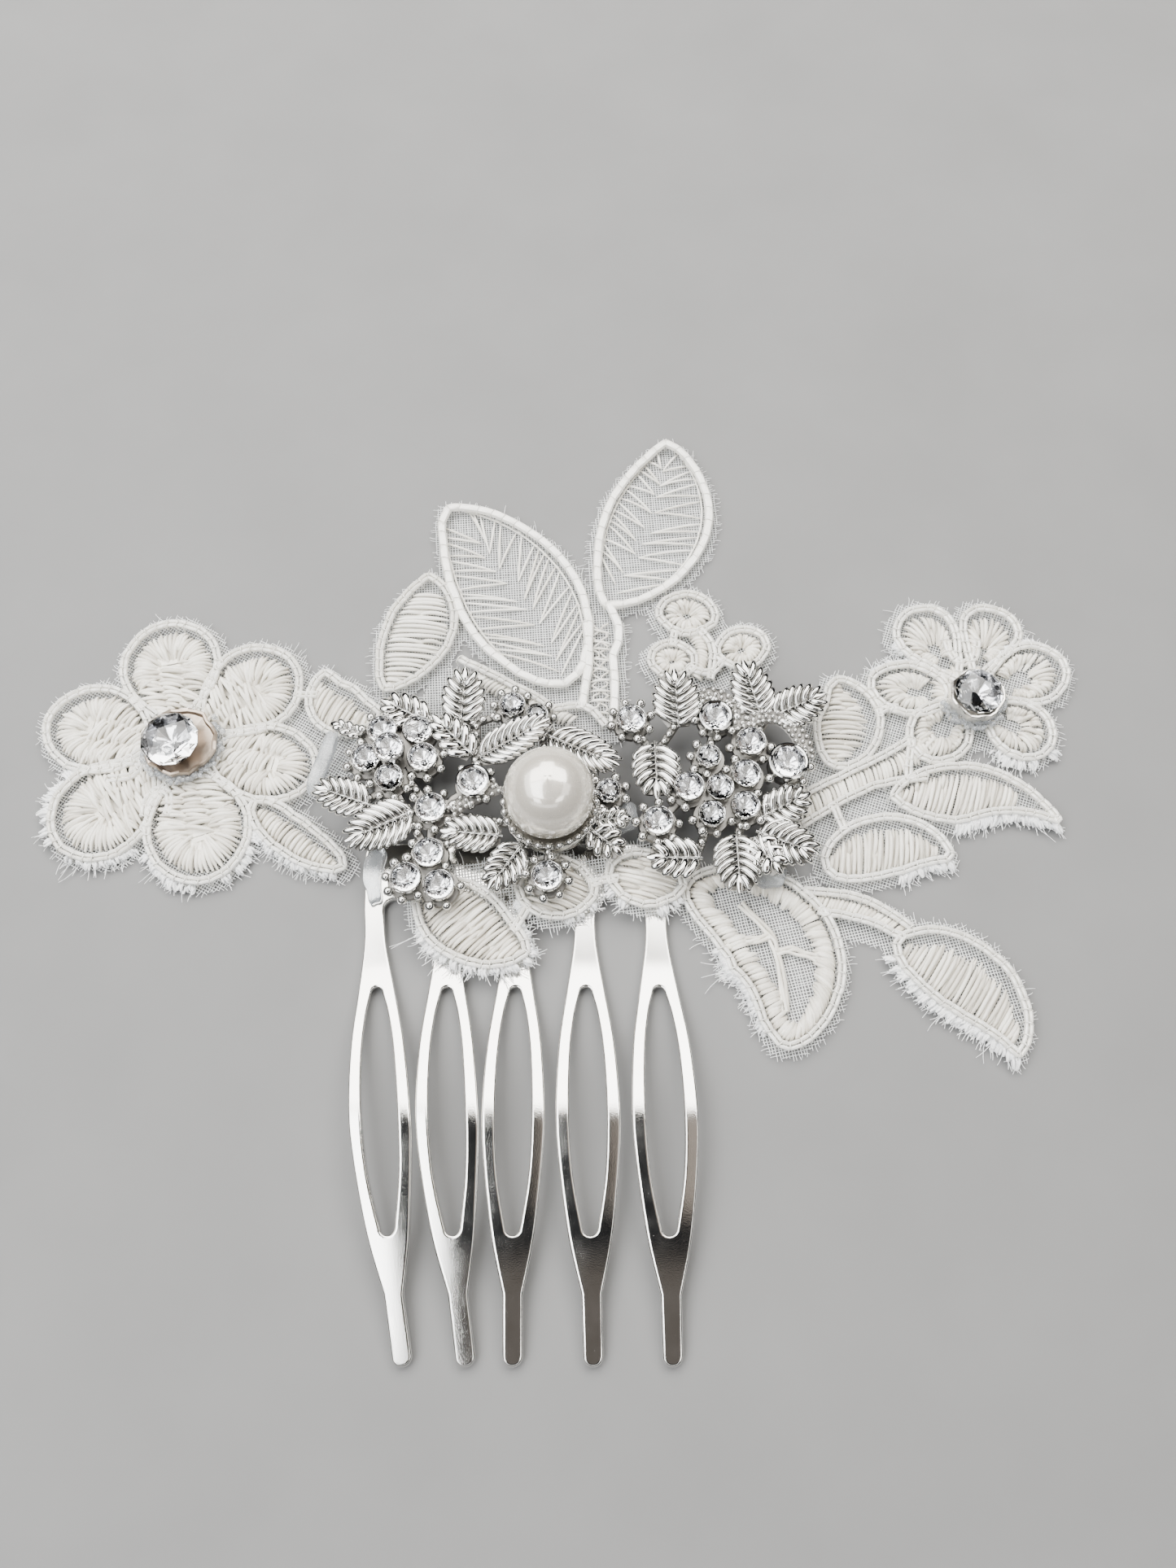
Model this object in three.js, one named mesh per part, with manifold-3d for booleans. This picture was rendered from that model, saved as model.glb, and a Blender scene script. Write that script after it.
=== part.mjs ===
// Decorative hair comb: a looped metal comb carrying a spray of corded lace, two
// stone-set leaf castings, one large pearl and two loose crystals.
// Millimetres. The comb lies face up, +X to the wearer's right of the spray,
// the teeth point to -Y and +Z is the decorated face. z = 0 is the resting surface.

import * as THREE from 'three';
import { mergeVertices } from 'three/addons/utils/BufferGeometryUtils.js';
import Module from 'manifold-3d';

// ---------------------------------------------------------------- dimensions

// Middle of the layout below, which becomes the origin
const MIDDLE = { x: 0.55, y: 0.35 };

// Comb stamping
const SHEET = 0.9;
const SPINE = { left: -21.3, right: 12.4, low: -7.2, high: -0.7, corner: 1.4 };
const ARCH_RISE = 2.6;
const ARCH_START = -14;
const ARCH_STEPS = 5;
const ARCH_CREST = -32;
const TIP_Y = -53.8;
// Half widths of a tooth and of the slot in it, at stations down its length.
const TOOTH_STATIONS = [
  [-8.4, 1.2], [-12.2, 1.3], [-17.5, 2.15], [-23, 3.0], [-30, 3.4], [-35, 3.15], [-42, 2.25], [-47.3, 1.05],
];
const SLOT_STATIONS = [
  [-17.6, 0.65], [-20, 1.25], [-24, 1.75], [-30, 1.95], [-36, 1.65], [-41.2, 0.75],
];
const TIP_HALF = 1.0;
// Centre line of each tooth: x at the neck, at the middle of the slot and at the tip. swell scales its widths.
const TEETH = [
  { neck: -20.0, middle: -17.5, tip: -14.3, swell: 0.94 },
  { neck: -11.8, middle: -10.65, tip: -8.2, swell: 0.95 },
  { neck: -4.3, middle: -3.9, tip: -3.6, swell: 0.95 },
  { neck: 3.3, middle: 3.7, tip: 4.2, swell: 0.98 },
  { neck: 11.1, middle: 11.55, tip: 11.9, swell: 1.0 },
];

// Lace, measured up from the level that a motif lies at
const OUTER_LEVEL = 0;
const SPINE_LEVEL = 1.25;
const NET = { low: 0, high: 0.3 };
const SATIN = { low: 0.55, high: 0.95 };
const CORD = { low: 1.2, high: 1.95 };
const NET_MARGIN = 1.15;
const CORD_HALF = 0.45;
const SATIN_INSET = 0.7;
const BRIDGE_HALF = 0.5;
const LEAF_STEPS = 7;
const NET_GAP = 0.35;

// Castings
const BASE = { low: 3.5, high: 4.2 };
const LEAF_RELIEF = { low: 3.5, high: 4.7 };
const STONE_PAD = 2.05;
const BAR_HALF = 0.7;
const STONE_FLOOR = BASE.high + 0.3;
const PEARL = { x: -0.5, y: 2.55, z: 8.5, radius: 5 };
const PEARL_CLEARANCE = 0.3;
const RIM = { inner: 4.45, outer: 5.35, low: 4.0, high: 5.0 };
const ROUND = 20;
// Detail finer than this is welded away
const WELD = 0.02;

// ---------------------------------------------------------------- materials

const silver = () => new THREE.MeshStandardMaterial({ color: 0xd6d7da, roughness: 0.12, metalness: 1 });
const rhodium = () => new THREE.MeshStandardMaterial({ color: 0xc9cacd, roughness: 0.16, metalness: 1 });
const tulle = () => new THREE.MeshStandardMaterial({ color: 0xd9d8d4, roughness: 0.85, metalness: 0 });
const rayon = () => new THREE.MeshStandardMaterial({ color: 0xefece2, roughness: 0.45, metalness: 0 });
const cordage = () => new THREE.MeshStandardMaterial({ color: 0xf3f2ee, roughness: 0.3, metalness: 0 });
const crystal = () => new THREE.MeshStandardMaterial({ color: 0xf2f5f8, roughness: 0.02, metalness: 0 });
const nacre = () => new THREE.MeshStandardMaterial({ color: 0xeeeae0, roughness: 0.2, metalness: 0 });
const glue = () => new THREE.MeshStandardMaterial({ color: 0xcfd9e4, roughness: 0.25, metalness: 0 });

// ---------------------------------------------------------------- solid helpers

const wasm = await Module();
wasm.setup();

function solidOf(geometry) {
  const bare = geometry.index ? geometry.toNonIndexed() : geometry.clone();
  bare.deleteAttribute('normal');
  bare.deleteAttribute('uv');
  const merged = mergeVertices(bare, 1e-4);
  return new wasm.Manifold(new wasm.Mesh({
    numProp: 3,
    vertProperties: new Float32Array(merged.attributes.position.array),
    triVerts: new Uint32Array(merged.index.array),
  }));
}

// Slivers left where outlines nearly meet are welded away.
function tidy(solid) {
  return solid.asOriginal().simplify(WELD);
}

function union(solids) {
  return tidy(solids.reduce((whole, next) => whole.add(next)));
}

function meshOf(name, solid, material) {
  const data = solid.getMesh();
  const geometry = new THREE.BufferGeometry();
  geometry.setAttribute('position', new THREE.BufferAttribute(new Float32Array(data.vertProperties), 3));
  geometry.setIndex(new THREE.BufferAttribute(new Uint32Array(data.triVerts), 1));
  geometry.translate(-MIDDLE.x, -MIDDLE.y, 0);
  geometry.computeVertexNormals();
  const mesh = new THREE.Mesh(geometry, material);
  mesh.name = name;
  return mesh;
}

function slab(points, low, high) {
  const geometry = new THREE.ExtrudeGeometry(new THREE.Shape(points), {
    depth: high - low, bevelEnabled: false, steps: 1,
  });
  geometry.translate(0, 0, low);
  return solidOf(geometry);
}

function disc(x, y, radius, low, high, sides = 10) {
  const geometry = new THREE.CylinderGeometry(radius, radius, high - low, sides);
  geometry.rotateX(Math.PI / 2);
  geometry.translate(x, y, (low + high) / 2);
  return solidOf(geometry);
}

function bar(from, to, half, low, high) {
  const a = new THREE.Vector2(...from);
  const b = new THREE.Vector2(...to);
  const side = b.clone().sub(a).normalize().multiplyScalar(half);
  side.set(-side.y, side.x);
  const corners = [a.clone().add(side), a.clone().sub(side), b.clone().sub(side), b.clone().add(side)];
  return slab(corners, low, high);
}

// A lathe turned about the world's Z axis and set down at x, y.
function turned(profile, x, y, sides) {
  const geometry = new THREE.LatheGeometry(profile.map(([r, z]) => new THREE.Vector2(r, z)), sides);
  geometry.rotateX(Math.PI / 2);
  geometry.translate(x, y, 0);
  return geometry;
}

// ---------------------------------------------------------------- the comb

// Rise of the plate above the surface: flat under the spine, crest at mid tooth, down to the tips.
function archHeight(y) {
  if (y > ARCH_START) {
    return 0;
  }
  if (y > ARCH_CREST) {
    const t = (ARCH_START - y) / (ARCH_START - ARCH_CREST);
    return ARCH_RISE * (1 - Math.cos(Math.PI * t)) / 2;
  }
  const t = (ARCH_CREST - y) / (ARCH_CREST - TIP_Y);
  return ARCH_RISE * Math.cos(Math.PI * t / 2);
}

function toothCentre(tooth, y) {
  const t = (SPINE.low - y) / (SPINE.low - TIP_Y);
  const control = 2 * tooth.middle - (tooth.neck + tooth.tip) / 2;
  return (1 - t) ** 2 * tooth.neck + 2 * t * (1 - t) * control + t * t * tooth.tip;
}

// Stations turned into a smooth run of [y, half width].
function smoothStations(stations, steps) {
  const curve = new THREE.SplineCurve(stations.map(([y, w]) => new THREE.Vector2(y, w)));
  return curve.getPoints(steps).map((p) => [p.x, p.y]);
}

function arcPoints(cx, cy, radius, from, to, steps) {
  const points = [];
  for (let i = 1; i < steps; i += 1) {
    const angle = from + (to - from) * i / steps;
    points.push(new THREE.Vector2(cx + radius * Math.cos(angle), cy + radius * Math.sin(angle)));
  }
  return points;
}

// Down one side of a tooth, round its tip and up the other side, left side first.
function toothSide(tooth) {
  const run = smoothStations(TOOTH_STATIONS, 9);
  const left = run.map(([y, w]) => new THREE.Vector2(toothCentre(tooth, y) - w * tooth.swell, y));
  const right = run.map(([y, w]) => new THREE.Vector2(toothCentre(tooth, y) + w * tooth.swell, y)).reverse();
  const tip = arcPoints(toothCentre(tooth, TIP_Y), TIP_Y + TIP_HALF, TIP_HALF, Math.PI, 2 * Math.PI, 5);
  const shoulder = new THREE.Vector2(toothCentre(tooth, TIP_Y) - TIP_HALF, TIP_Y + TIP_HALF);
  const far = new THREE.Vector2(toothCentre(tooth, TIP_Y) + TIP_HALF, TIP_Y + TIP_HALF);
  return [...left, shoulder, ...tip, far, ...right];
}

function slotPath(tooth) {
  const run = smoothStations(SLOT_STATIONS, 7);
  const left = run.map(([y, w]) => new THREE.Vector2(toothCentre(tooth, y) - w * tooth.swell, y));
  const right = run.map(([y, w]) => new THREE.Vector2(toothCentre(tooth, y) + w * tooth.swell, y)).reverse();
  const [topY, topW] = SLOT_STATIONS[0];
  const [endY, endW] = SLOT_STATIONS[SLOT_STATIONS.length - 1];
  const foot = arcPoints(toothCentre(tooth, endY), endY, endW * tooth.swell, Math.PI, 2 * Math.PI, 5);
  const head = arcPoints(toothCentre(tooth, topY), topY, topW * tooth.swell, 0, Math.PI, 5);
  return new THREE.Path([...left, ...foot, ...right, ...head]);
}

function combOutline() {
  const { left, right, low, high, corner } = SPINE;
  const points = [new THREE.Vector2(left, high - corner)];
  TEETH.forEach((tooth, i) => {
    if (i > 0) {
      const previous = toothCentre(TEETH[i - 1], low) + TOOTH_STATIONS[0][1] + 1.2;
      points.push(new THREE.Vector2(previous, low));
      points.push(new THREE.Vector2(toothCentre(tooth, low) - TOOTH_STATIONS[0][1] - 1.2, low));
    }
    points.push(...toothSide(tooth));
  });
  points.push(new THREE.Vector2(right, high - corner));
  points.push(...arcPoints(right - corner, high - corner, corner, 0, Math.PI / 2, 4));
  points.push(new THREE.Vector2(right - corner, high));
  points.push(new THREE.Vector2(left + corner, high));
  points.push(...arcPoints(left + corner, high - corner, corner, Math.PI / 2, Math.PI, 4));
  return points;
}

// A sheet as wide as the comb, bent to the arch.
function archedSheet() {
  const stations = [SPINE.high + 1, ARCH_START];
  for (let i = 1; i <= ARCH_STEPS; i += 1) {
    stations.push(ARCH_START + (ARCH_CREST - ARCH_START) * i / ARCH_STEPS);
  }
  for (let i = 1; i <= ARCH_STEPS; i += 1) {
    stations.push(ARCH_CREST + (TIP_Y - ARCH_CREST) * i / ARCH_STEPS);
  }
  const under = stations.map((y) => new THREE.Vector2(y, archHeight(y)));
  const over = stations.map((y) => new THREE.Vector2(y, archHeight(y) + SHEET)).reverse();
  const geometry = new THREE.ExtrudeGeometry(new THREE.Shape([...under, ...over]), {
    depth: SPINE.right - SPINE.left + 20, bevelEnabled: false, steps: 1,
  });
  geometry.applyMatrix4(new THREE.Matrix4().set(0, 0, 1, SPINE.left - 10, 1, 0, 0, 0, 0, 1, 0, 0, 0, 0, 0, 1));
  return solidOf(geometry);
}

function combPlate() {
  const shape = new THREE.Shape(combOutline());
  shape.holes = TEETH.map(slotPath);
  const geometry = new THREE.ExtrudeGeometry(shape, { depth: 10, bevelEnabled: false, steps: 1 });
  geometry.translate(0, 0, -2);
  return solidOf(geometry).intersect(archedSheet());
}

// ---------------------------------------------------------------- lace shapes

// A leaf or petal is a bent line from base through middle to tip with a half width on each
// side of it. peak is where along the line it is widest; round below 1 makes blunt ends.
const leaf = (base, middle, tip, left, right, peak, round) => ({ base, middle, tip, left, right, peak, round });

// A petal standing round a flower's hub.
function petal(hub, centre, reach, half, start, round = 0.5) {
  const h = new THREE.Vector2(...hub);
  const c = new THREE.Vector2(...centre);
  const out = c.clone().sub(h).normalize();
  const base = h.clone().addScaledVector(out, start);
  const tip = c.clone().addScaledVector(out, reach);
  const middle = base.clone().add(tip).multiplyScalar(0.5);
  const peak = base.distanceTo(c) / base.distanceTo(tip);
  return leaf(base.toArray(), middle.toArray(), tip.toArray(), half, half, peak, round);
}

function leafFrame(shape, t, grow = 0) {
  const base = new THREE.Vector2(...shape.base);
  const middle = new THREE.Vector2(...shape.middle);
  const tip = new THREE.Vector2(...shape.tip);
  const control = middle.multiplyScalar(2).addScaledVector(base, -0.5).addScaledVector(tip, -0.5);
  const curve = new THREE.QuadraticBezierCurve(base, control, tip);
  const point = curve.getPoint(t);
  const along = curve.getTangent(t);
  const power = Math.log(0.5) / Math.log(shape.peak);
  const swell = Math.max(0, Math.sin(Math.PI * t ** power)) ** shape.round;
  point.addScaledVector(along, grow * (2 * t - 1));
  return { point, side: new THREE.Vector2(-along.y, along.x), swell };
}

// The closed outline, moved outwards by grow.
function leafOutline(shape, grow) {
  const left = [];
  const right = [];
  for (let i = 1; i < LEAF_STEPS; i += 1) {
    const t = (1 - Math.cos(Math.PI * i / LEAF_STEPS)) / 2;
    const { point, side, swell } = leafFrame(shape, t, grow);
    left.push(point.clone().addScaledVector(side, (shape.left + grow) * swell));
    right.push(point.clone().addScaledVector(side, -(shape.right + grow) * swell));
  }
  const start = leafFrame(shape, 0, grow).point;
  const end = leafFrame(shape, 1, grow).point;
  return [start, ...right, end, ...left.reverse()];
}

function leafPad(shape, grow, level, part) {
  return slab(leafOutline(shape, grow), level + part.low, level + part.high);
}

// The band between two outlines of one leaf.
function leafRing(shape, outer, inner, level, part) {
  return leafPad(shape, outer, level, part).subtract(
    slab(leafOutline(shape, inner), level + part.low - 1, level + part.high + 1),
  );
}

const cordRing = (shape, level) => leafRing(shape, CORD_HALF, -CORD_HALF, level, CORD);

// A cord or strip of satin along an open line.
function ribbon(line, half, level, part, steps = 2) {
  const curve = new THREE.SplineCurve(line.map(([x, y]) => new THREE.Vector2(x, y)));
  const count = steps * (line.length - 1);
  const left = [];
  const right = [];
  for (let i = 0; i <= count; i += 1) {
    const point = curve.getPoint(i / count);
    const along = curve.getTangent(i / count);
    const side = new THREE.Vector2(-along.y, along.x).multiplyScalar(half);
    left.push(point.clone().add(side));
    right.push(point.clone().sub(side));
  }
  return slab([...right, ...left.reverse()], level + part.low, level + part.high);
}

const cordLine = (line, level) => ribbon(line, CORD_HALF, level, CORD);
const bridge = (from, to, level) => bar(from, to, BRIDGE_HALF, level + SATIN.low, level + SATIN.high);

// Open herringbone stitching: a vein with ribs running out to both edges.
function herringbone(shape, ribs, level) {
  const pieces = [];
  const veinTo = 0.94;
  const veinFrom = 0.06;
  const vein = [];
  for (let i = 0; i <= 6; i += 1) {
    vein.push(leafFrame(shape, veinFrom + (veinTo - veinFrom) * i / 6).point.toArray());
  }
  pieces.push(ribbon(vein, 0.4, level, SATIN, 1));
  for (let i = 1; i <= ribs; i += 1) {
    const root = veinFrom + (veinTo - 0.16) * i / (ribs + 1);
    const end = Math.min(0.94, root + 0.1);
    const from = leafFrame(shape, root).point;
    const { point, side, swell } = leafFrame(shape, end);
    const toLeft = point.clone().addScaledVector(side, (shape.left - SATIN_INSET) * swell);
    const toRight = point.clone().addScaledVector(side, -(shape.right - SATIN_INSET) * swell);
    pieces.push(bar(from.toArray(), toLeft.toArray(), 0.28, level + SATIN.low, level + SATIN.high));
    pieces.push(bar(from.toArray(), toRight.toArray(), 0.28, level + SATIN.low, level + SATIN.high));
  }
  return union(pieces);
}

// ---------------------------------------------------------------- lace motifs

const LEFT_HUB = [-43.7, 10.9];
const LEFT_PETALS = [
  petal(LEFT_HUB, [-46.0, 21.6], 5.6, 5.6, 3.6),
  petal(LEFT_HUB, [-35.7, 18.5], 5.5, 5.4, 3.6),
  petal(LEFT_HUB, [-33.2, 8.9], 5.8, 4.6, 3.4),
  petal(LEFT_HUB, [-40.3, 1.0], 6.3, 5.7, 3.2),
  petal(LEFT_HUB, [-51.6, 3.0], 5.7, 5.5, 3.6),
  petal(LEFT_HUB, [-53.8, 13.3], 5.7, 5.2, 3.6),
];
const SMALL_LEAF = leaf([-27.5, 20.6], [-25.6, 16.0], [-20.3, 15.0], 3.1, 3.1, 0.5, 0.75);
const STEM_LEAF = leaf([-34.2, 4.4], [-29.8, 0.4], [-23.4, -3.4], 1.9, 2.2, 0.5, 0.45);

const SATIN_LEAF = leaf([-20.4, 18.4], [-16.8, 28.0], [-15.8, 33.8], 3.3, 4.7, 0.4, 0.9);
const BIG_LEAF = leaf([0.9, 19.0], [-5.2, 32.4], [-14.2, 43.4], 7.6, 6.8, 0.44, 0.67);
const RIGHT_LEAF = leaf([5.8, 29.6], [11.3, 42.0], [13.9, 53.4], 5.3, 7.6, 0.47, 0.74);
const STEM_LEFT = [[3.5, 27.2], [3.8, 22.1], [3.0, 15.8]];
const STEM_RIGHT = [[6.2, 29.8], [7.6, 26.0], [6.7, 22.6], [6.9, 20.0], [6.6, 13.6]];
const UNDER_LEFT = [[-11.6, 22.4], [-3.8, 18.2], [-0.3, 15.8]];
const UNDER_RIGHT = [[-0.3, 15.8], [3.4, 16.1], [5.8, 13.6]];

const FLORET_PETALS = [
  leaf([12.3, 28.0], [15.7, 28.4], [19.0, 27.4], 2.8, 2.7, 0.5, 0.5),
  leaf([16.4, 21.6], [13.8, 22.2], [11.1, 22.3], 2.3, 2.3, 0.5, 0.5),
  leaf([19.2, 22.8], [22.2, 23.8], [25.1, 24.6], 2.6, 2.5, 0.5, 0.5),
];
const FLORET_STEMS = [
  [[17.0, 26.3], [18.6, 24.0], [18.2, 19.6]],
  [[14.2, 26.2], [14.0, 25.2], [13.9, 24.0]],
  [[20.0, 22.2], [19.2, 21.4], [18.4, 20.4]],
];

const RIGHT_HUB = [48.7, 17.4];
const RIGHT_PETALS = [
  petal(RIGHT_HUB, [44.2, 26.0], 3.2, 3.6, 2.2),
  petal(RIGHT_HUB, [52.2, 26.4], 2.8, 3.4, 2.2),
  petal(RIGHT_HUB, [56.4, 20.4], 4.2, 3.7, 2.2),
  petal(RIGHT_HUB, [54.2, 13.2], 3.8, 3.5, 2.2),
  petal(RIGHT_HUB, [44.6, 12.8], 3.9, 3.4, 1.6),
  petal(RIGHT_HUB, [41.6, 18.4], 4.6, 3.2, 2.4),
];
const UPRIGHT_LEAF = leaf([31.3, 9.1], [34.7, 14.2], [32.7, 19.4], 4.4, 3.2, 0.45, 0.5);
const LONG_LEAF = leaf([38.4, 4.9], [48.8, 7.2], [57.3, 1.6], 1.3, 5.3, 0.32, 0.95);
const LOWER_LEAF = leaf([30.3, -3.8], [38.5, -0.9], [44.3, -2.5], 3.5, 3.2, 0.35, 0.72);
const INNER_LOOP = [[46.6, 24.8], [47.2, 22.4], [48.5, 21.6], [49.8, 22.4], [50.4, 24.8]];
const BAND_UPPER = [[26.6, 4.4], [31.6, 6.8], [36.4, 9.2], [41.2, 12.0]];
const BAND_LOWER = [[26.6, 0.6], [32.0, 3.9], [36.6, 6.2], [42.6, 7.2]];

const OPEN_LEAF = leaf([14.4, -6.0], [25.2, -11.8], [24.3, -23.2], 5.4, 6.6, 0.49, 0.5);
const OPEN_BORDER = 2.3;
const OPEN_VEINS = [
  [[20.6, -7.6], [23.4, -11.0], [24.3, -13.4], [24.8, -19.6]],
  [[23.6, -11.4], [21.4, -11.8], [18.6, -12.4]],
  [[24.2, -13.0], [26.4, -13.0], [28.8, -14.0]],
];
const FAR_LEAF = leaf([37.2, -12.3], [46.0, -17.7], [49.0, -24.2], 4.3, 3.5, 0.36, 0.82);
const STEM_UPPER = [[27.6, -6.2], [34.2, -7.2], [39.0, -10.4]];
const STEM_LOWER = [[29.0, -8.6], [34.1, -9.6], [38.2, -11.6]];

const BOTTOM_LEFT = leaf([-14.3, -5.9], [-9.2, -11.0], [-2.8, -13.3], 4.4, 3.4, 0.42, 0.6);
const BOTTOM_MIDDLE = leaf([0.6, -2.9], [0.2, -5.9], [-0.1, -9.5], 4.3, 4.2, 0.55, 0.5);
const BOTTOM_RIGHT = leaf([11.0, -2.4], [10.2, -5.4], [9.7, -8.2], 4.0, 4.4, 0.45, 0.6);

// The net under the outer motifs stops short of the comb plate.
function clearOfComb(net) {
  const keepOut = new THREE.BoxGeometry(SPINE.right - SPINE.left + 1, 60, 10);
  keepOut.translate((SPINE.left + SPINE.right) / 2, SPINE.high + 0.4 - 30, 0);
  return net.subtract(solidOf(keepOut));
}

// One motif's net cut back from the leaves of the motif beside it.
function clearOfLeaves(net, leaves) {
  return leaves.reduce((rest, shape) => rest.subtract(
    slab(leafOutline(shape, NET_MARGIN + NET_GAP), -1, 3),
  ), net);
}

function leftFlower() {
  const level = OUTER_LEVEL;
  const shapes = [...LEFT_PETALS, SMALL_LEAF, STEM_LEAF];
  const hub = disc(...LEFT_HUB, 5.4, level + NET.low, level + NET.high, ROUND);
  const patch = slab([[-31, 15], [-29, 6], [-21, 9], [-21, 18]].map(([x, y]) => new THREE.Vector2(x, y)),
    level + NET.low, level + NET.high);
  const net = union([hub, patch, ...shapes.map((s) => leafPad(s, NET_MARGIN, level, NET))]);
  const satin = union([
    disc(...LEFT_HUB, 5.0, level + SATIN.low, level + SATIN.high, ROUND),
    ...shapes.map((s) => leafPad(s, -SATIN_INSET, level, SATIN)),
    bridge([-33.0, 17.6], [-25.6, 16.6], level),
    bridge([-32.4, 8.4], [-31.2, 1.4], level),
  ]);
  const cord = union([
    ...shapes.map((s) => cordRing(s, level)),
    cordLine([[-30.8, 17.6], [-29.6, 17.5], [-28.2, 17.6]], level),
  ]);
  return [
    meshOf('left_flower_net', tidy(clearOfLeaves(clearOfComb(net), [SATIN_LEAF])), tulle()),
    meshOf('left_flower_satin', satin, rayon()),
    meshOf('left_flower_cord', cord, cordage()),
  ];
}

function topSpray() {
  const level = OUTER_LEVEL;
  const leaves = [SATIN_LEAF, BIG_LEAF, RIGHT_LEAF];
  const stemNet = [[-17.4, 14.6], [-6, 11], [8, 12], [8.4, 27], [6.6, 30.6], [3.6, 28], [2, 20], [-4, 19], [-14, 22]];
  const net = union([
    ...leaves.map((s) => leafPad(s, NET_MARGIN, level, NET)),
    slab(stemNet.map(([x, y]) => new THREE.Vector2(x, y)), level + NET.low, level + NET.high),
  ]);
  const satin = union([
    leafPad(SATIN_LEAF, -SATIN_INSET, level, SATIN),
    herringbone(BIG_LEAF, 7, level),
    herringbone(RIGHT_LEAF, 7, level),
    bridge([-15.6, 26.0], [-6.0, 30.4], level),
    bridge([-4.6, 31.0], [9.6, 38.4], level),
    ribbon([[0.2, 21.0], [5.2, 20.8], [5.0, 13.6]], 0.5, level, SATIN),
  ]);
  const cord = union([
    ...leaves.map((s) => cordRing(s, level)),
    cordLine(STEM_LEFT, level),
    cordLine(STEM_RIGHT, level),
    cordLine(UNDER_LEFT, level),
    cordLine(UNDER_RIGHT, level),
    cordLine([[-12.6, 27.8], [-11.8, 27.6], [-10.8, 27.4]], level),
    cordLine([[5.8, 29.8], [4.8, 28.0], [3.6, 26.0]], level),
  ]);
  return [
    meshOf('top_spray_net', net, tulle()),
    meshOf('top_spray_stitching', satin, rayon()),
    meshOf('top_spray_cord', cord, cordage()),
  ];
}

function floret() {
  const level = OUTER_LEVEL;
  const net = union([
    ...FLORET_PETALS.map((s) => leafPad(s, NET_MARGIN, level, NET)),
    disc(17.2, 22.6, 4.6, level + NET.low, level + NET.high),
  ]);
  const satin = union([
    ...FLORET_PETALS.map((s) => leafPad(s, -SATIN_INSET, level, SATIN)),
    bridge([15.6, 27.4], [18.0, 22.4], level),
    bridge([13.4, 22.2], [18.2, 22.4], level),
    bridge([17.8, 22.4], [21.6, 23.6], level),
  ]);
  const cord = union([
    ...FLORET_PETALS.map((s) => cordRing(s, level)),
    ...FLORET_STEMS.map((line) => cordLine(line, level)),
    cordLine([[15.6, 21.4], [17.0, 20.6], [18.4, 20.4]], level),
  ]);
  return [
    meshOf('floret_net', tidy(clearOfLeaves(net, [RIGHT_LEAF])), tulle()),
    meshOf('floret_satin', satin, rayon()),
    meshOf('floret_cord', cord, cordage()),
  ];
}

function rightFlower() {
  const level = OUTER_LEVEL;
  const shapes = [...RIGHT_PETALS, UPRIGHT_LEAF, LONG_LEAF, LOWER_LEAF];
  const bandNet = [[26.4, -2.4], [31, -2.4], [40, 4.5], [42, 12], [40, 21], [34, 12], [26.4, 8]];
  const net = union([
    disc(...RIGHT_HUB, 6.5, level + NET.low, level + NET.high, ROUND),
    slab(bandNet.map(([x, y]) => new THREE.Vector2(x, y)), level + NET.low, level + NET.high),
    ...shapes.map((s) => leafPad(s, NET_MARGIN, level, NET)),
  ]);
  const satin = union([
    disc(...RIGHT_HUB, 3.6, level + SATIN.low, level + SATIN.high, ROUND),
    ...shapes.map((s) => leafPad(s, -SATIN_INSET, level, SATIN)),
    ribbon([[27.6, 3.0], [33.6, 6.2], [40.4, 9.4], [44.0, 12.4]], 1.1, level, SATIN),
    bridge([34.0, 11.0], [34.4, 6.4], level),
    bridge([39.0, 8.8], [41.0, 5.4], level),
    bridge([32.0, 4.8], [34.6, -0.8], level),
  ]);
  const cord = union([
    ...shapes.map((s) => cordRing(s, level)),
    cordLine(BAND_UPPER, level),
    cordLine(BAND_LOWER, level),
    cordLine([[37.4, 15.2], [38.6, 15.8], [40.0, 16.0]], level),
    cordLine(INNER_LOOP, level),
    cordLine([[41.4, 12.0], [40.8, 9.8], [40.4, 6.9]], level),
    cordLine([[31.6, 3.8], [32.2, 2.2], [32.6, 0.8]], level),
  ]);
  return [
    meshOf('right_flower_net', net, tulle()),
    meshOf('right_flower_satin', satin, rayon()),
    meshOf('right_flower_cord', cord, cordage()),
  ];
}

function lowerSpray() {
  const level = OUTER_LEVEL;
  const stemNet = [[26, -5.4], [29, -4.4], [40, -9.4], [38, -13], [30, -11]];
  const net = union([
    leafPad(OPEN_LEAF, NET_MARGIN, level, NET),
    leafPad(FAR_LEAF, NET_MARGIN, level, NET),
    slab(stemNet.map(([x, y]) => new THREE.Vector2(x, y)), level + NET.low, level + NET.high),
  ]);
  const satin = union([
    leafRing(OPEN_LEAF, -SATIN_INSET, -OPEN_BORDER - SATIN_INSET, level, SATIN),
    ...OPEN_VEINS.map((line) => ribbon(line, 0.5, level, SATIN)),
    leafPad(FAR_LEAF, -SATIN_INSET, level, SATIN),
    bridge([28.8, -9.2], [39.8, -12.8], level),
  ]);
  const cord = union([
    cordRing(OPEN_LEAF, level),
    cordRing(FAR_LEAF, level),
    cordLine(STEM_UPPER, level),
    cordLine(STEM_LOWER, level),
  ]);
  return [
    meshOf('lower_spray_net', tidy(clearOfLeaves(clearOfComb(net), [LOWER_LEAF])), tulle()),
    meshOf('lower_spray_satin', satin, rayon()),
    meshOf('lower_spray_cord', cord, cordage()),
  ];
}

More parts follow.
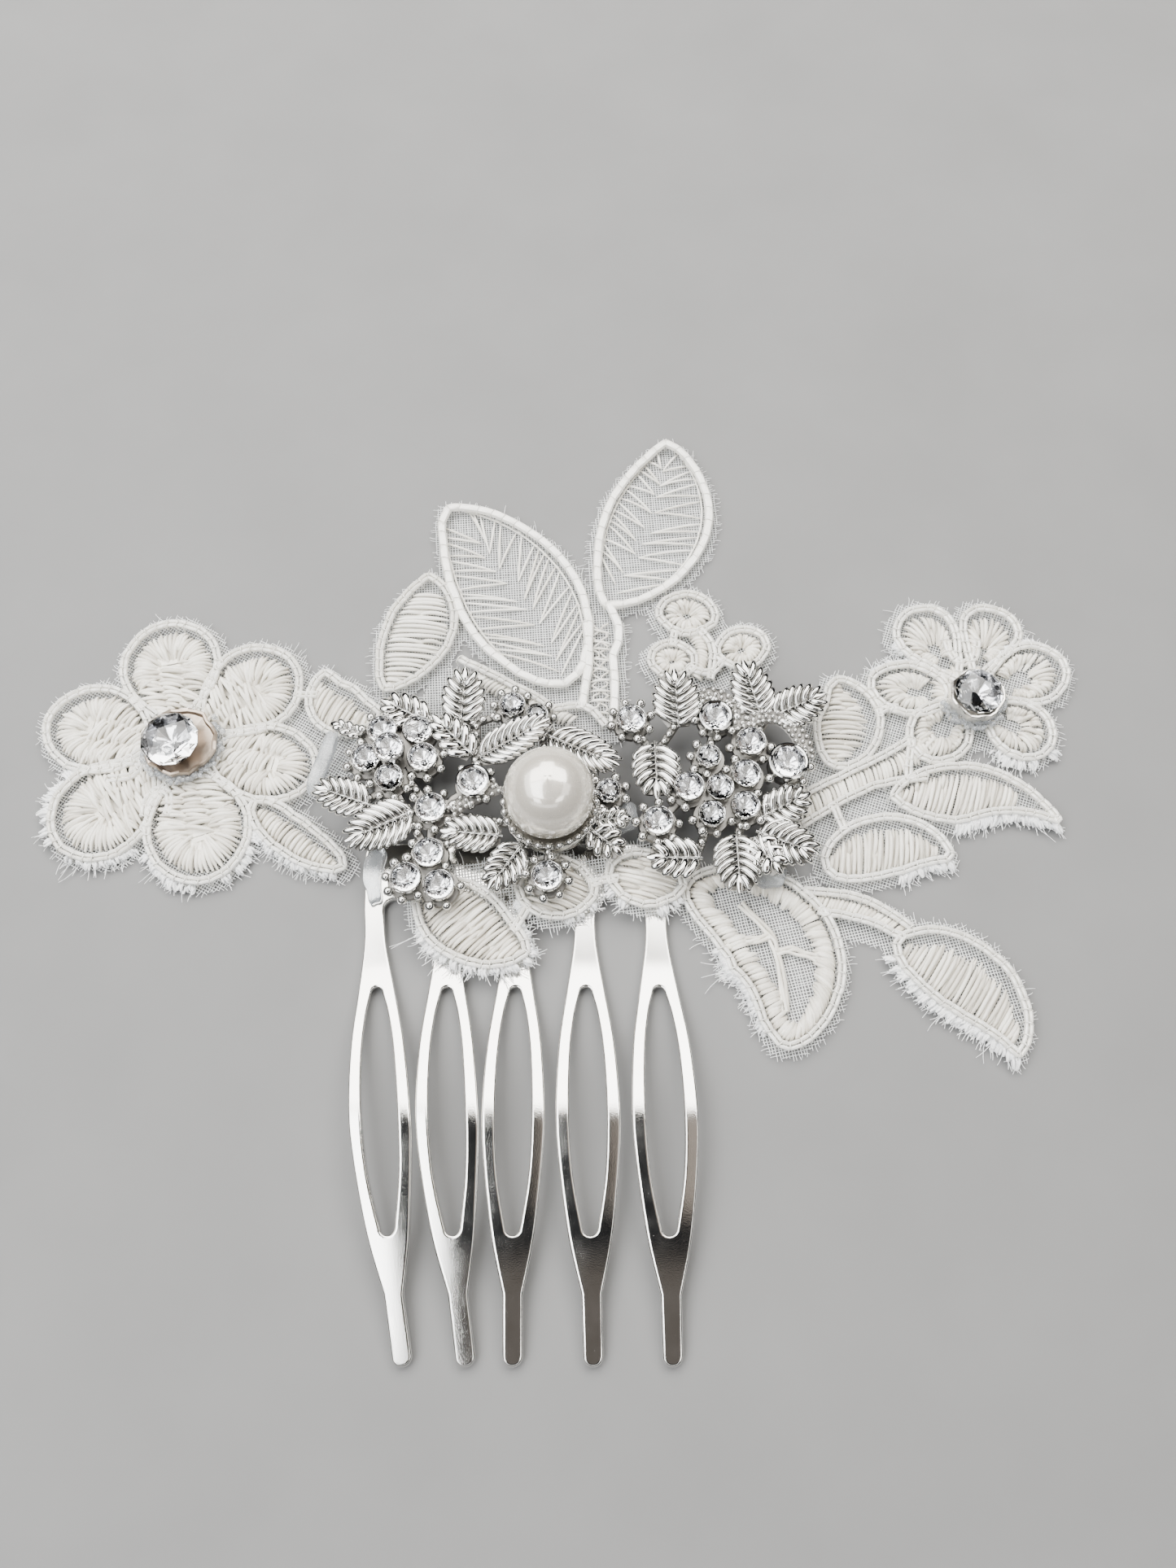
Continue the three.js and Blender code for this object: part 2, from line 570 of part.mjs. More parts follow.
function bottomPetals() {
  const level = SPINE_LEVEL;
  const shapes = [BOTTOM_LEFT, BOTTOM_MIDDLE, BOTTOM_RIGHT];
  const net = union([
    ...shapes.map((s) => leafPad(s, NET_MARGIN, level, NET)),
    bar([-13, -5.0], [11, -4.0], 1.6, level + NET.low, level + NET.high),
  ]);
  const clearance = slab(leafOutline(OPEN_LEAF, CORD_HALF + NET_GAP), 0, 3);
  const satin = union([
    ...shapes.map((s) => leafPad(s, -SATIN_INSET, level, SATIN)),
    bridge([-8.6, -9.6], [-1.0, -6.4], level),
    bridge([1.0, -6.0], [9.6, -5.6], level),
  ]);
  const cord = union([
    ...shapes.map((s) => cordRing(s, level)),
    cordLine([[-4.4, -11.2], [-3.6, -9.8], [-2.8, -8.4]], level),
    cordLine([[3.8, -6.0], [5.4, -5.4], [7.0, -5.2]], level),
  ]);
  return [
    meshOf('bottom_petals_net', tidy(net.subtract(clearance)), tulle()),
    meshOf('bottom_petals_satin', satin, rayon()),
    meshOf('bottom_petals_cord', cord, cordage()),
  ];
}

// ---------------------------------------------------------------- stones

// x, y, girdle radius, and how far the seat is raised above the casting's base.
const LEFT_STONES = [
  [-19.5, 11.3, 1.6, 0], [-15.5, 11.3, 1.6, 0], [-21.1, 7.9, 1.55, 0], [-18.4, 8.6, 1.6, 1.5],
  [-14.8, 8.0, 1.6, 0], [-18.4, 5.6, 1.5, 0], [-13.6, 2.0, 1.6, 0], [-9.0, 5.0, 1.6, 0.4],
  [-13.6, -3.2, 1.6, 0], [-15.9, -6.0, 1.6, 0], [-12.3, -6.8, 1.6, 0], [-4.9, 14.4, 1.4, 0],
  [-2.1, 13.2, 1.2, 0], [6.0, 4.0, 1.3, 0], [-0.7, -5.8, 1.6, 0],
];
const RIGHT_STONES = [
  [8.6, 12.7, 1.6, 0], [18.2, 13.0, 1.6, 0], [22.0, 9.9, 1.6, 0], [26.0, 7.3, 1.9, 0.4],
  [21.3, 6.0, 1.55, 0], [17.2, 8.1, 1.3, 0], [18.3, 4.4, 1.45, 0], [14.9, 4.5, 1.6, 0],
  [21.0, 2.3, 1.5, 0], [17.3, 1.3, 1.4, 0], [11.4, 0.5, 1.6, 0],
];
const STONE_DEPTH = 0.85;
const STONE_GIRDLE = 0.2;
const STONE_CROWN = 0.5;

function chaton(name, [x, y, radius, raised]) {
  const floor = STONE_FLOOR + raised;
  const profile = [
    [0, floor], [radius, floor + STONE_DEPTH], [radius, floor + STONE_DEPTH + STONE_GIRDLE],
    [radius * 0.55, floor + STONE_DEPTH + STONE_GIRDLE + STONE_CROWN],
    [0, floor + STONE_DEPTH + STONE_GIRDLE + STONE_CROWN],
  ];
  return meshOf(name, solidOf(turned(profile, x, y, 8)), crystal());
}

// ---------------------------------------------------------------- castings

// Cast leaf with three lobes a side: base, tip and half width.
const LEFT_CAST_LEAVES = [
  [[-10.6, 12.6], [-10.4, 19.0], 2.3], [[-14.6, 12.6], [-19.8, 15.1], 2.0], [[-22.0, 11.0], [-25.4, 12.4], 0.7],
  [[-9.4, 8.6], [-13.8, 13.0], 1.7], [[-8.6, 8.2], [-0.8, 12.2], 2.0], [[-0.8, 10.9], [7.0, 7.0], 2.2],
  [[-20.6, 2.6], [-26.6, 4.6], 2.1], [[-15.6, 1.8], [-22.6, -1.8], 2.6], [[-5.9, -1.0], [-12.3, -0.6], 2.0],
  [[-3.6, -2.2], [-7.0, -7.1], 2.0], [[4.6, 0.8], [8.0, 1.0], 1.2], [[4.2, -0.4], [6.9, -3.0], 1.8],
];
const RIGHT_CAST_LEAVES = [
  [[14.0, 12.2], [13.6, 18.8], 2.6], [[23.4, 13.2], [21.6, 20.0], 2.4], [[24.8, 13.3], [30.7, 15.8], 2.2],
  [[11.3, 9.4], [11.3, 3.2], 2.6], [[23.0, 1.2], [28.2, 3.8], 2.2], [[22.4, -0.6], [28.6, -3.2], 2.4],
  [[20.0, -0.9], [20.0, -7.5], 2.6], [[15.9, -3.6], [10.2, -3.6], 2.2], [[22.0, -1.4], [24.6, -5.4], 1.9],
];
// Bars under the stones and leaves that make each casting one piece.
const LEFT_BARS = [
  [[-18.4, 8.6], [-13.6, 2.0]], [[-18.4, 5.6], [-13.6, -3.2]], [[-13.6, 2.0], [-9.0, 5.0]],
  [[-13.6, 2.0], [-5.0, 0.6]], [[-9.0, 5.0], [-4.4, 4.4]], [[-13.6, -3.2], [-13.6, 2.0]],
  [[-13.6, -3.2], [-14.6, -6.4]], [[-15.5, 11.3], [-9.4, 12.6]], [[-9.0, 5.0], [-9.0, 13.2]],
  [[-9.4, 12.6], [-4.9, 14.4]], [[-4.9, 14.4], [-1.6, 12.4]], [[-1.6, 12.8], [-1.0, 6.6]],
  [[3.0, 3.4], [6.0, 4.0]], [[-0.6, -1.8], [-0.7, -5.8]], [[2.4, -0.2], [5.4, -1.0]],
  [[2.8, 1.0], [5.8, 1.0]], [[-18.4, 5.6], [-21.4, 2.8]], [[-13.6, 2.0], [-16.6, 1.2]],
  [[-3.0, 0.2], [-4.2, -3.4]], [[-19.5, 11.3], [-22.6, 11.4]], [[4.2, 4.0], [4.6, 8.4]],
];
const RIGHT_BARS = [
  [[8.6, 12.7], [11.3, 8.6]], [[11.3, 9.0], [14.9, 4.5]], [[14.0, 13.0], [11.2, 8.6]],
  [[18.2, 13.0], [17.2, 8.1]], [[18.2, 13.0], [22.0, 9.9]], [[22.0, 9.9], [24.4, 13.8]],
  [[22.0, 9.9], [26.0, 7.3]], [[22.0, 9.9], [21.3, 6.0]], [[17.2, 8.1], [18.3, 4.4]],
  [[21.0, 2.3], [23.6, 1.6]], [[21.0, 2.3], [20.0, -1.8]], [[20.0, -1.6], [23.4, -1.2]],
  [[17.3, 1.3], [15.4, -3.6]], [[11.4, 0.5], [14.9, 4.5]], [[11.4, 0.5], [12.4, -3.4]],
  [[22.4, -1.2], [23.4, -3.4]], [[17.2, 8.1], [21.3, 6.0]], [[23.4, 12.6], [24.0, 15.4]],
];

function castLeaf([base, tip, half]) {
  const lobes = 3;
  const steps = 8;
  const axis = leaf(base, [(base[0] + tip[0]) / 2, (base[1] + tip[1]) / 2], tip, half, half, 0.45, 0.7);
  const left = [];
  const right = [];
  for (let i = 1; i < steps; i += 1) {
    const t = i / steps;
    const { point, side, swell } = leafFrame(axis, t);
    const notch = 0.72 + 0.28 * Math.abs(Math.sin(lobes * Math.PI * t));
    left.push(point.clone().addScaledVector(side, half * swell * notch));
    right.push(point.clone().addScaledVector(side, -half * swell * notch));
  }
  const outline = [new THREE.Vector2(...base), ...right, new THREE.Vector2(...tip), ...left.reverse()];
  return slab(outline, LEAF_RELIEF.low, LEAF_RELIEF.high);
}

// Pad, stalk and open collar that hold one stone.
function stoneSeat([x, y, radius, raised]) {
  const pad = disc(x, y, Math.min(STONE_PAD, radius + 0.5), BASE.low, BASE.high, 8);
  return raised > 0 ? pad.add(disc(x, y, 0.7, BASE.low, STONE_FLOOR + raised - 0.3, 8)) : pad;
}

function pearlSeat() {
  const plate = disc(PEARL.x, PEARL.y, RIM.outer, BASE.low, BASE.high, ROUND);
  const rim = solidOf(turned([
    [RIM.inner, RIM.low], [RIM.outer, RIM.low], [RIM.outer, RIM.high], [RIM.inner, RIM.high],
    [RIM.inner, RIM.low],
  ], PEARL.x, PEARL.y, ROUND));
  return plate.add(rim);
}

function pearlBall(extra, sides) {
  const geometry = new THREE.SphereGeometry(PEARL.radius + extra, sides, Math.round(sides * 0.6));
  geometry.rotateX(Math.PI / 2);
  geometry.translate(PEARL.x, PEARL.y, PEARL.z);
  return solidOf(geometry);
}

function casting(stones, leaves, bars) {
  return union([
    ...stones.map(stoneSeat),
    ...bars.map(([from, to]) => bar(from, to, BAR_HALF, BASE.low, BASE.high)),
    ...leaves.map(castLeaf),
  ]);
}

// ---------------------------------------------------------------- loose crystals

// A large pointed-back crystal in a thin metal cup, set on the middle of a lace flower.
const CRYSTALS = [
  { name: 'left', x: -43.7, y: 10.6, radius: 3.15 },
  { name: 'right', x: 48.7, y: 16.6, radius: 2.75 },
];
const CUP_FLOOR = 2.25;

function crystalCup({ name, x, y, radius }) {
  const profile = [
    [0, CUP_FLOOR], [radius * 0.6, CUP_FLOOR], [radius + 0.5, CUP_FLOOR + 1.5],
    [radius + 0.2, CUP_FLOOR + 1.5], [radius * 0.55, CUP_FLOOR + 0.4], [0, CUP_FLOOR + 0.4],
  ];
  return meshOf(`crystal_cup_${name}`, solidOf(turned(profile, x, y, 16)), silver());
}

function largeCrystal({ name, x, y, radius }) {
  const low = CUP_FLOOR + 0.8;
  const profile = [
    [0, low], [radius * 0.4, low], [radius, low + 1.2], [radius, low + 1.5],
    [radius * 0.58, low + 2.4], [0, low + 2.4],
  ];
  return meshOf(`large_crystal_${name}`, solidOf(turned(profile, x, y, 16)), crystal());
}

// ---------------------------------------------------------------- glue

// Set adhesive that shows round the castings: outline, underside and top.
const GLUE = [
  { name: 'glue_left_tab', low: 2.25, high: 2.9,
    outline: [[-25.0, 12.2], [-26.4, 11.8], [-28.2, 5.4], [-27.0, 5.0], [-25.6, 8.4]] },
  { name: 'glue_lower_left', low: 1.25, high: 3.1,
    outline: [[-22.2, -0.8], [-22.3, -6.4], [-21.4, -8.4], [-18.9, -8.4], [-18.7, -1.0]] },
  { name: 'glue_middle', low: 2.3, high: 3.2,
    outline: [[2.6, 3.8], [2.4, 0.2], [5.4, -0.4], [8.8, 0.4], [9.2, 3.0], [6.0, 4.2]] },
  { name: 'glue_right', low: 2.3, high: 3.2,
    outline: [[21.2, -3.2], [21.8, -5.8], [24.4, -6.4], [25.6, -4.6], [24.0, -2.8]] },
];

function glueDab({ name, low, high, outline }) {
  return meshOf(name, slab(outline.map(([x, y]) => new THREE.Vector2(x, y)), low, high), glue());
}

// ---------------------------------------------------------------- assembly

const part = new THREE.Group();
part.name = 'decorative_hair_comb';
part.add(meshOf('comb_plate', combPlate(), silver()));
part.add(...leftFlower(), ...topSpray(), ...floret(), ...rightFlower(), ...lowerSpray(), ...bottomPetals());
const leftCasting = casting(LEFT_STONES, LEFT_CAST_LEAVES, LEFT_BARS);
const seated = tidy(leftCasting.add(pearlSeat()).subtract(pearlBall(PEARL_CLEARANCE, 12)));
part.add(meshOf('casting_left', seated, rhodium()));
part.add(meshOf('casting_right', casting(RIGHT_STONES, RIGHT_CAST_LEAVES, RIGHT_BARS), rhodium()));
part.add(meshOf('pearl', pearlBall(0, ROUND), nacre()));
LEFT_STONES.forEach((stone, i) => part.add(chaton(`stone_left_${i + 1}`, stone)));
RIGHT_STONES.forEach((stone, i) => part.add(chaton(`stone_right_${i + 1}`, stone)));
CRYSTALS.forEach((stone) => part.add(crystalCup(stone), largeCrystal(stone)));
part.add(...GLUE.map(glueDab));

export default part;
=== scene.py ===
"""Looks of the decorative hair comb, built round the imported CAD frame. Blender 4.5.

Shapes are laid out in the CAD layout's millimetres. Shell.piece() takes them into the
row frame, in metres. The comb lies face up, with the teeth towards -Y.
"""

import math
import random

import bmesh
import bpy
import numpy as np
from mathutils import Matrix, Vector
from mathutils.geometry import delaunay_2d_cdt


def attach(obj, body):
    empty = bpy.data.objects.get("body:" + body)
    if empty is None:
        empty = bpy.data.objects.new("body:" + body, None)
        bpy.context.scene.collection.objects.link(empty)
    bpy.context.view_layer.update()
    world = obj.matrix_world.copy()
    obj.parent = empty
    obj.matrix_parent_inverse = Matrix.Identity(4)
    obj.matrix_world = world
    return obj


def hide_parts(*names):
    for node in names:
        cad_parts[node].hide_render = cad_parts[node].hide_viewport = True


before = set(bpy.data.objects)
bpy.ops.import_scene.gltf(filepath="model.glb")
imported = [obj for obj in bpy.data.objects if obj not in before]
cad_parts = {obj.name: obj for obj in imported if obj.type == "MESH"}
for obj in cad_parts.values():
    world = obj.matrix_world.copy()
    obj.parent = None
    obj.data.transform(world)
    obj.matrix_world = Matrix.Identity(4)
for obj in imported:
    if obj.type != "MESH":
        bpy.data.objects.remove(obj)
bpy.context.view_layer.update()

# ---------------------------------------------------------------- dimensions, in mm

MM = 0.001
MIDDLE = (0.55, 0.35)  # middle of the layout, which is the row frame's origin
SEED = 4711

# Comb stamping
SHEET = 0.9
BEVEL = 0.17
PLATE_PITCH = 0.6  # of the points that the flat sides bend at
SPINE_LEFT, SPINE_RIGHT, SPINE_LOW, SPINE_HIGH = -21.3, 12.4, -7.2, -0.7
SPINE_CORNER = 1.4
ROOT_ROUND = 1.2
ARCH_RISE, ARCH_START, ARCH_CREST = 2.6, -14.0, -32.0
TIP_Y = -53.8
TIP_HALF = 1.0
ROLL_START, ROLL_FADE = -10.0, 7.0  # where roll and crown begin, and the run they come in over
CROWN = 0.0095  # how far a tooth falls off to its sides, mm per mm squared
TOOTH_ROLLS = (0.012, 0.010, -0.030, 0.0, 0.0)  # slope across each tooth
# y and half width down a tooth, then down its slot
TOOTH_STATIONS = [
    (-8.4, 1.2), (-12.2, 1.3), (-17.5, 2.15), (-23, 3.0), (-30, 3.4), (-35, 3.15),
    (-42, 2.25), (-47.3, 1.05),
]
SLOT_STATIONS = [
    (-17.6, 0.65), (-20, 1.25), (-24, 1.75), (-30, 1.95), (-36, 1.65), (-41.2, 0.75),
]
# x of the neck, of the slot's middle and of the tip, and a scale of the widths
TEETH = [
    (-20.0, -17.5, -14.3, 0.94), (-11.8, -10.65, -8.2, 0.95), (-4.3, -3.9, -3.6, 0.95),
    (3.3, 3.7, 4.2, 0.98), (11.1, 11.55, 11.9, 1.0),
]

# Lace: heights above the level that a motif lies at
OUTER_LEVEL, SPINE_LEVEL = 0.0, 1.25
NET_LOW = 0.1
NET_MARGIN = 1.15
CUT_MARGIN = NET_MARGIN + 0.35  # round a leaf of another motif, where this one's net stops
NET_PITCH = 0.33
NET_THREAD = 0.1
SATIN_LOW = 0.5
SATIN_RISE = 0.75
CORD_HEIGHT = 1.2
CORD_WIDTH = 0.95
CLUMP_THREADS, CLUMP_HAIRS = 7, 3  # in each clump of the clipped fringe
WHOLE = (0.0, 1.0)  # the stretch of a leaf that stitches fill

# Castings
BASE_LOW, BASE_HIGH = 3.5, 4.2
STONE_FLOOR = 4.5
LOBE_FILL = 0.71  # a leaf lobe's width as a share of the room it has along the leaf
GRAINS, GRAIN_SIZES = 16, (0.5, 0.6)  # most beads round a stone, and bounds of their radius
PEARL = (-0.5, 2.55, 8.5)
PEARL_RADIUS = 5.0
RIM_BEADS = 28


# ---------------------------------------------------------------- one piece's mesh

class Shell:
    """The vertices and faces of one piece, with a thread attribute on each vertex:
    length along the thread in mm, share of the way round it, and a tone of its own."""

    def __init__(self):
        self.verts = []
        self.faces = []
        self.thread = []
        self.size = 0

    def add(self, verts, faces, thread=None):
        verts = np.asarray(verts, float)
        offset = self.size
        self.verts.append(verts)
        self.faces.extend([[index + offset for index in face] for face in faces])
        if thread is None:
            thread = np.full((len(verts), 3), 0.5)
        self.thread.append(np.asarray(thread, float))
        self.size += len(verts)

    def piece(self, name, material, slot=None, replaces=(), sharp=None):
        verts = np.concatenate(self.verts)
        verts[:, 0] -= MIDDLE[0]
        verts[:, 1] -= MIDDLE[1]
        mesh = bpy.data.meshes.new(name)
        mesh.from_pydata((verts * MM).tolist(), [], self.faces)
        attribute = mesh.attributes.new("thread", "FLOAT_VECTOR", "POINT")
        attribute.data.foreach_set("vector", np.concatenate(self.thread).ravel())
        mesh.materials.append(material)
        mesh.update()
        if sharp is None:
            mesh.shade_flat()
        else:
            mesh.shade_smooth()
            mesh.set_sharp_from_angle(angle=math.radians(sharp))
        piece = bpy.data.objects.new(name, mesh)
        bpy.context.scene.collection.objects.link(piece)
        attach(piece, "root")
        if replaces:
            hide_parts(*replaces)
        return piece


def unit(vectors):
    length = np.linalg.norm(vectors, axis=-1, keepdims=True)
    return vectors / np.maximum(length, 1e-9)


def left_of(way):
    """A level direction, or rows of them, turned a quarter turn to the left."""
    return np.stack([-way[..., 1], way[..., 0]], -1)


def about(x, y, radius, angle, *z):
    """The point at a radius and an angle from x, y, at a height if one is given."""
    return (x + radius * math.cos(angle), y + radius * math.sin(angle), *z)


def lengths(path):
    """How far along a path each of its points is."""
    return np.concatenate([[0], np.cumsum(np.linalg.norm(np.diff(path, axis=0), axis=1))])


def point_at(place, along, path):
    """The level point of a path at a length along it."""
    return np.array([np.interp(place, along, path[:, 0]), np.interp(place, along, path[:, 1])])


def skin(rows, sides, closed=False, ends=True):
    """Faces over rings of vertices: closed joins the last ring to the first, ends caps them."""
    faces = []
    for i in range(rows if closed else rows - 1):
        here, there = i * sides, (i + 1) % rows * sides
        for j in range(sides):
            k = (j + 1) % sides
            faces.append((here + j, here + k, there + k, there + j))
    if ends and not closed:
        end = (rows - 1) * sides
        faces.append(tuple(range(sides - 1, -1, -1)))
        faces.append(tuple(range(end, end + sides)))
    return faces


def tube(shell, path, width, height, sides=6, tone=0.5, closed=False):
    """An oval tube along a path that runs mostly level. width and height may vary along it."""
    path = np.asarray(path, float)
    count = len(path)
    if closed:
        tangent = unit(np.roll(path, -1, 0) - np.roll(path, 1, 0))
    else:
        tangent = unit(np.gradient(path, axis=0))
    side = unit(np.stack([-tangent[:, 1], tangent[:, 0], np.full(count, 1e-6)], 1))
    up = np.cross(tangent, side)
    angle = 2 * math.pi * np.arange(sides) / sides - math.pi / 2
    half_w = (np.broadcast_to(width, count) / 2)[:, None, None]
    half_h = (np.broadcast_to(height, count) / 2)[:, None, None]
    ring = side[:, None, :] * np.cos(angle)[None, :, None] * half_w
    ring = ring + up[:, None, :] * np.sin(angle)[None, :, None] * half_h
    verts = (path[:, None, :] + ring).reshape(-1, 3)
    thread = np.stack([
        np.repeat(lengths(path), sides), np.tile(np.arange(sides) / sides, count),
        np.full(count * sides, tone),
    ], 1)
    shell.add(verts, skin(count, sides, closed), thread)


def lathe(shell, profile, x, y, sides):
    """A closed profile of (radius, z) turned about a vertical line."""
    turns = 2 * math.pi * np.arange(sides) / sides
    verts = [about(x, y, radius, a, z) for radius, z in profile for a in turns]
    shell.add(verts, skin(len(profile), sides, closed=True))


def ball(shell, x, y, z, radius, flat=1.0, rings=7, sides=12):
    """A small cast bead."""
    verts = [(x, y, z - radius * flat)]
    for i in range(1, rings):
        a = math.pi * i / rings - math.pi / 2
        height = z + radius * flat * math.sin(a)
        verts += [about(x, y, radius * math.cos(a), 2 * math.pi * j / sides, height)
                  for j in range(sides)]
    verts.append((x, y, z + radius * flat))
    top, last = len(verts) - 1, 1 + (rings - 2) * sides
    faces = []
    for j in range(sides):
        k = (j + 1) % sides
        faces.append((0, 1 + k, 1 + j))
        for low in range(1, last, sides):
            faces.append((low + j, low + k, low + sides + k, low + sides + j))
        faces.append((last + j, last + k, top))
    shell.add(verts, faces)


def hull(shell, points):
    """The faceted solid round a set of points."""
    bm = bmesh.new()
    for point in points:
        bm.verts.new(point)
    bmesh.ops.convex_hull(bm, input=bm.verts)
    loose = [v for v in bm.verts if not v.link_faces]
    bmesh.ops.delete(bm, geom=loose, context="VERTS")
    bmesh.ops.dissolve_limit(bm, angle_limit=math.radians(1), verts=bm.verts, edges=bm.edges)
    bmesh.ops.recalc_face_normals(bm, faces=bm.faces)
    bm.verts.index_update()
    shell.add([v.co[:] for v in bm.verts], [[v.index for v in f.verts] for f in bm.faces])
    bm.free()


# ---------------------------------------------------------------- materials

class Paint:
    """A procedural material with short calls for its nodes."""

    def __init__(self, name, **values):
        self.material = bpy.data.materials.new(name)
        self.material.use_nodes = True
        self.tree = self.material.node_tree
        self.shader = self.tree.nodes["Principled BSDF"]
        for socket, value in values.items():
            self.shader.inputs[socket.replace("_", " ")].default_value = value

    def node(self, kind, values=None, **settings):
        node = self.tree.nodes.new(kind)
        for key, value in settings.items():
            setattr(node, key, value)
        for key, value in (values or {}).items():
            if isinstance(value, bpy.types.NodeSocket):
                self.tree.links.new(value, node.inputs[key])
            else:
                node.inputs[key].default_value = value
        return node

    def feed(self, socket, value):
        self.tree.links.new(value, self.shader.inputs[socket])

    def place(self):
        """Object coordinates in millimetres."""
        coords = self.node("ShaderNodeTexCoord").outputs["Object"]
        return self.node("ShaderNodeMapping", {"Vector": coords, "Scale": (1 / MM,) * 3}).outputs[0]

    def thread(self):
        attribute = self.node("ShaderNodeAttribute", attribute_name="thread")
        return self.node("ShaderNodeSeparateXYZ", {"Vector": attribute.outputs["Vector"]}).outputs

    def maths(self, operation, a, b=0.0, c=0.0):
        return self.node("ShaderNodeMath", {0: a, 1: b, 2: c}, operation=operation).outputs[0]

    def noise(self, vector, scale, detail=3.0, rough=0.55):
        node = self.node("ShaderNodeTexNoise", {
            "Vector": vector, "Scale": scale, "Detail": detail, "Roughness": rough,
        })
        return node.outputs["Fac"]

    def ramp(self, fac, stops):
        node = self.node("ShaderNodeValToRGB", {"Fac": fac})
        elements = node.color_ramp.elements
        while len(elements) < len(stops):
            elements.new(0.5)
        for element, (place, colour) in zip(elements, stops):
            element.position = place
            element.color = (*colour, 1.0)
        return node.outputs["Color"]

    def range(self, value, low, high, to_low, to_high):
        node = self.node("ShaderNodeMapRange", {
            "Value": value, "From Min": low, "From Max": high, "To Min": to_low, "To Max": to_high,
        })
        return node.outputs["Result"]

    def multiply(self, first, second):
        values = {0: 1.0, 6: first, 7: second}
        return self.node("ShaderNodeMix", values, data_type="RGBA", blend_type="MULTIPLY").outputs[2]

    def bump(self, height, strength, distance):
        values = {"Height": height, "Strength": strength, "Distance": distance}
        self.feed("Normal", self.node("ShaderNodeBump", values).outputs["Normal"])


def polished_metal(name, colour, roughness, scratch):
    """Bright plating with faint haze, specks, fine scratches and slightly uneven polish."""
    paint = Paint(name, Metallic=1.0, Base_Color=(*colour, 1.0), Roughness=roughness)
    place = paint.place()
    haze = paint.noise(place, 0.35, 4)
    fine = paint.noise(place, 9.0, 2)
    specks = paint.noise(place, 3.2, 5, 0.7)
    dust = paint.range(specks, 0.69, 0.74, 0.0, 0.35)
    polish = paint.range(haze, 0.3, 0.7, roughness * 0.75, roughness * 1.5)
    paint.feed("Roughness", paint.maths("ADD", polish, dust))
    shade = [c * 0.93 for c in colour]
    paint.feed("Base Color", paint.ramp(haze, [(0.3, shade), (0.62, colour)]))
    paint.bump(fine, scratch, 0.00002)
    return paint.material


def yarn(name, dark, light, roughness, sheen, fibre, lustre=0.0):
    """Spun thread: lustrous fibres that run along it, each thread with a tone of its own."""
    paint = Paint(name, Roughness=roughness, Sheen_Weight=sheen, Sheen_Roughness=0.4,
                  Metallic=lustre)
    paint.shader.inputs["Specular IOR Level"].default_value = 0.6
    along, around, tone = paint.thread()
    lane = paint.node("ShaderNodeCombineXYZ", {
        "X": paint.maths("MULTIPLY", along, 0.9),
        "Y": paint.maths("MULTIPLY", around, fibre),
        "Z": paint.maths("MULTIPLY", tone, 37.0),
    }).outputs[0]
    strand = paint.noise(lane, 1.0, 3)
    mix = paint.maths("MULTIPLY_ADD", strand, 0.55, paint.maths("MULTIPLY", tone, 0.45))
    paint.feed("Base Color", paint.ramp(mix, [(0.25, dark), (0.7, light)]))
    paint.feed("Roughness", paint.range(strand, 0.3, 0.7, roughness * 0.8, roughness * 1.35))
    paint.bump(strand, 0.7, 0.00006)
    return paint.material


def clouded(name, scale, detail, dark, light, rough=None, bump=None, **values):
    """A material whose colour, and its roughness between two bounds, drift in soft clouds."""
    paint = Paint(name, **values)
    cloud = paint.noise(paint.place(), scale, detail)
    paint.feed("Base Color", paint.ramp(cloud, [(0.3, dark), (0.7, light)]))
    if rough:
        paint.feed("Roughness", paint.range(cloud, 0.3, 0.7, *rough))
    if bump:
        paint.bump(cloud, *bump)
    return paint.material


def mirror_foil(name, colour, roughness):
    """Thin bright foil, a little uneven."""
    dark = [c * 0.8 for c in colour]
    return clouded(name, 1.4, 3, dark, colour, (roughness * 0.7, roughness * 1.5), Metallic=1.0,
                   Roughness=roughness)


def nacre():
    """Lustrous pearl: cream body, faint rose and green overtones, a clear coat, and painted shade that
    darkens it towards its outline.
    """
    paint = Paint("pearl_nacre", Roughness=0.24, Coat_Weight=1.0, Coat_Roughness=0.08, Metallic=0.35)
    paint.shader.inputs["Coat IOR"].default_value = 2.5
    place = paint.place()
    cloud = paint.noise(place, 0.22, 4)
    ripple = paint.noise(place, 2.6, 3)
    facing = paint.node("ShaderNodeLayerWeight", {"Blend": 0.42}).outputs["Facing"]
    body = paint.ramp(cloud, [(0.3, (0.79, 0.755, 0.67)), (0.7, (0.87, 0.84, 0.76))])
    # Painted shade: the colour darkens towards the pearl's outline as its surface turns away from view
    rim = paint.ramp(facing, [(0.0, (0.92, 0.90, 0.90)), (0.45, (0.97, 0.94, 0.91)),
                              (0.8, (0.62, 0.60, 0.53)), (1.0, (0.34, 0.32, 0.28))])
    paint.feed("Base Color", paint.multiply(body, rim))
    paint.feed("Roughness", paint.range(ripple, 0.3, 0.7, 0.20, 0.30))
    paint.bump(ripple, 0.1, 0.00002)
    return paint.material


STEEL = polished_metal("polished_steel", (0.88, 0.87, 0.84), 0.085, 0.25)
RHODIUM = polished_metal("bright_rhodium", (0.62, 0.615, 0.60), 0.05, 0.3)
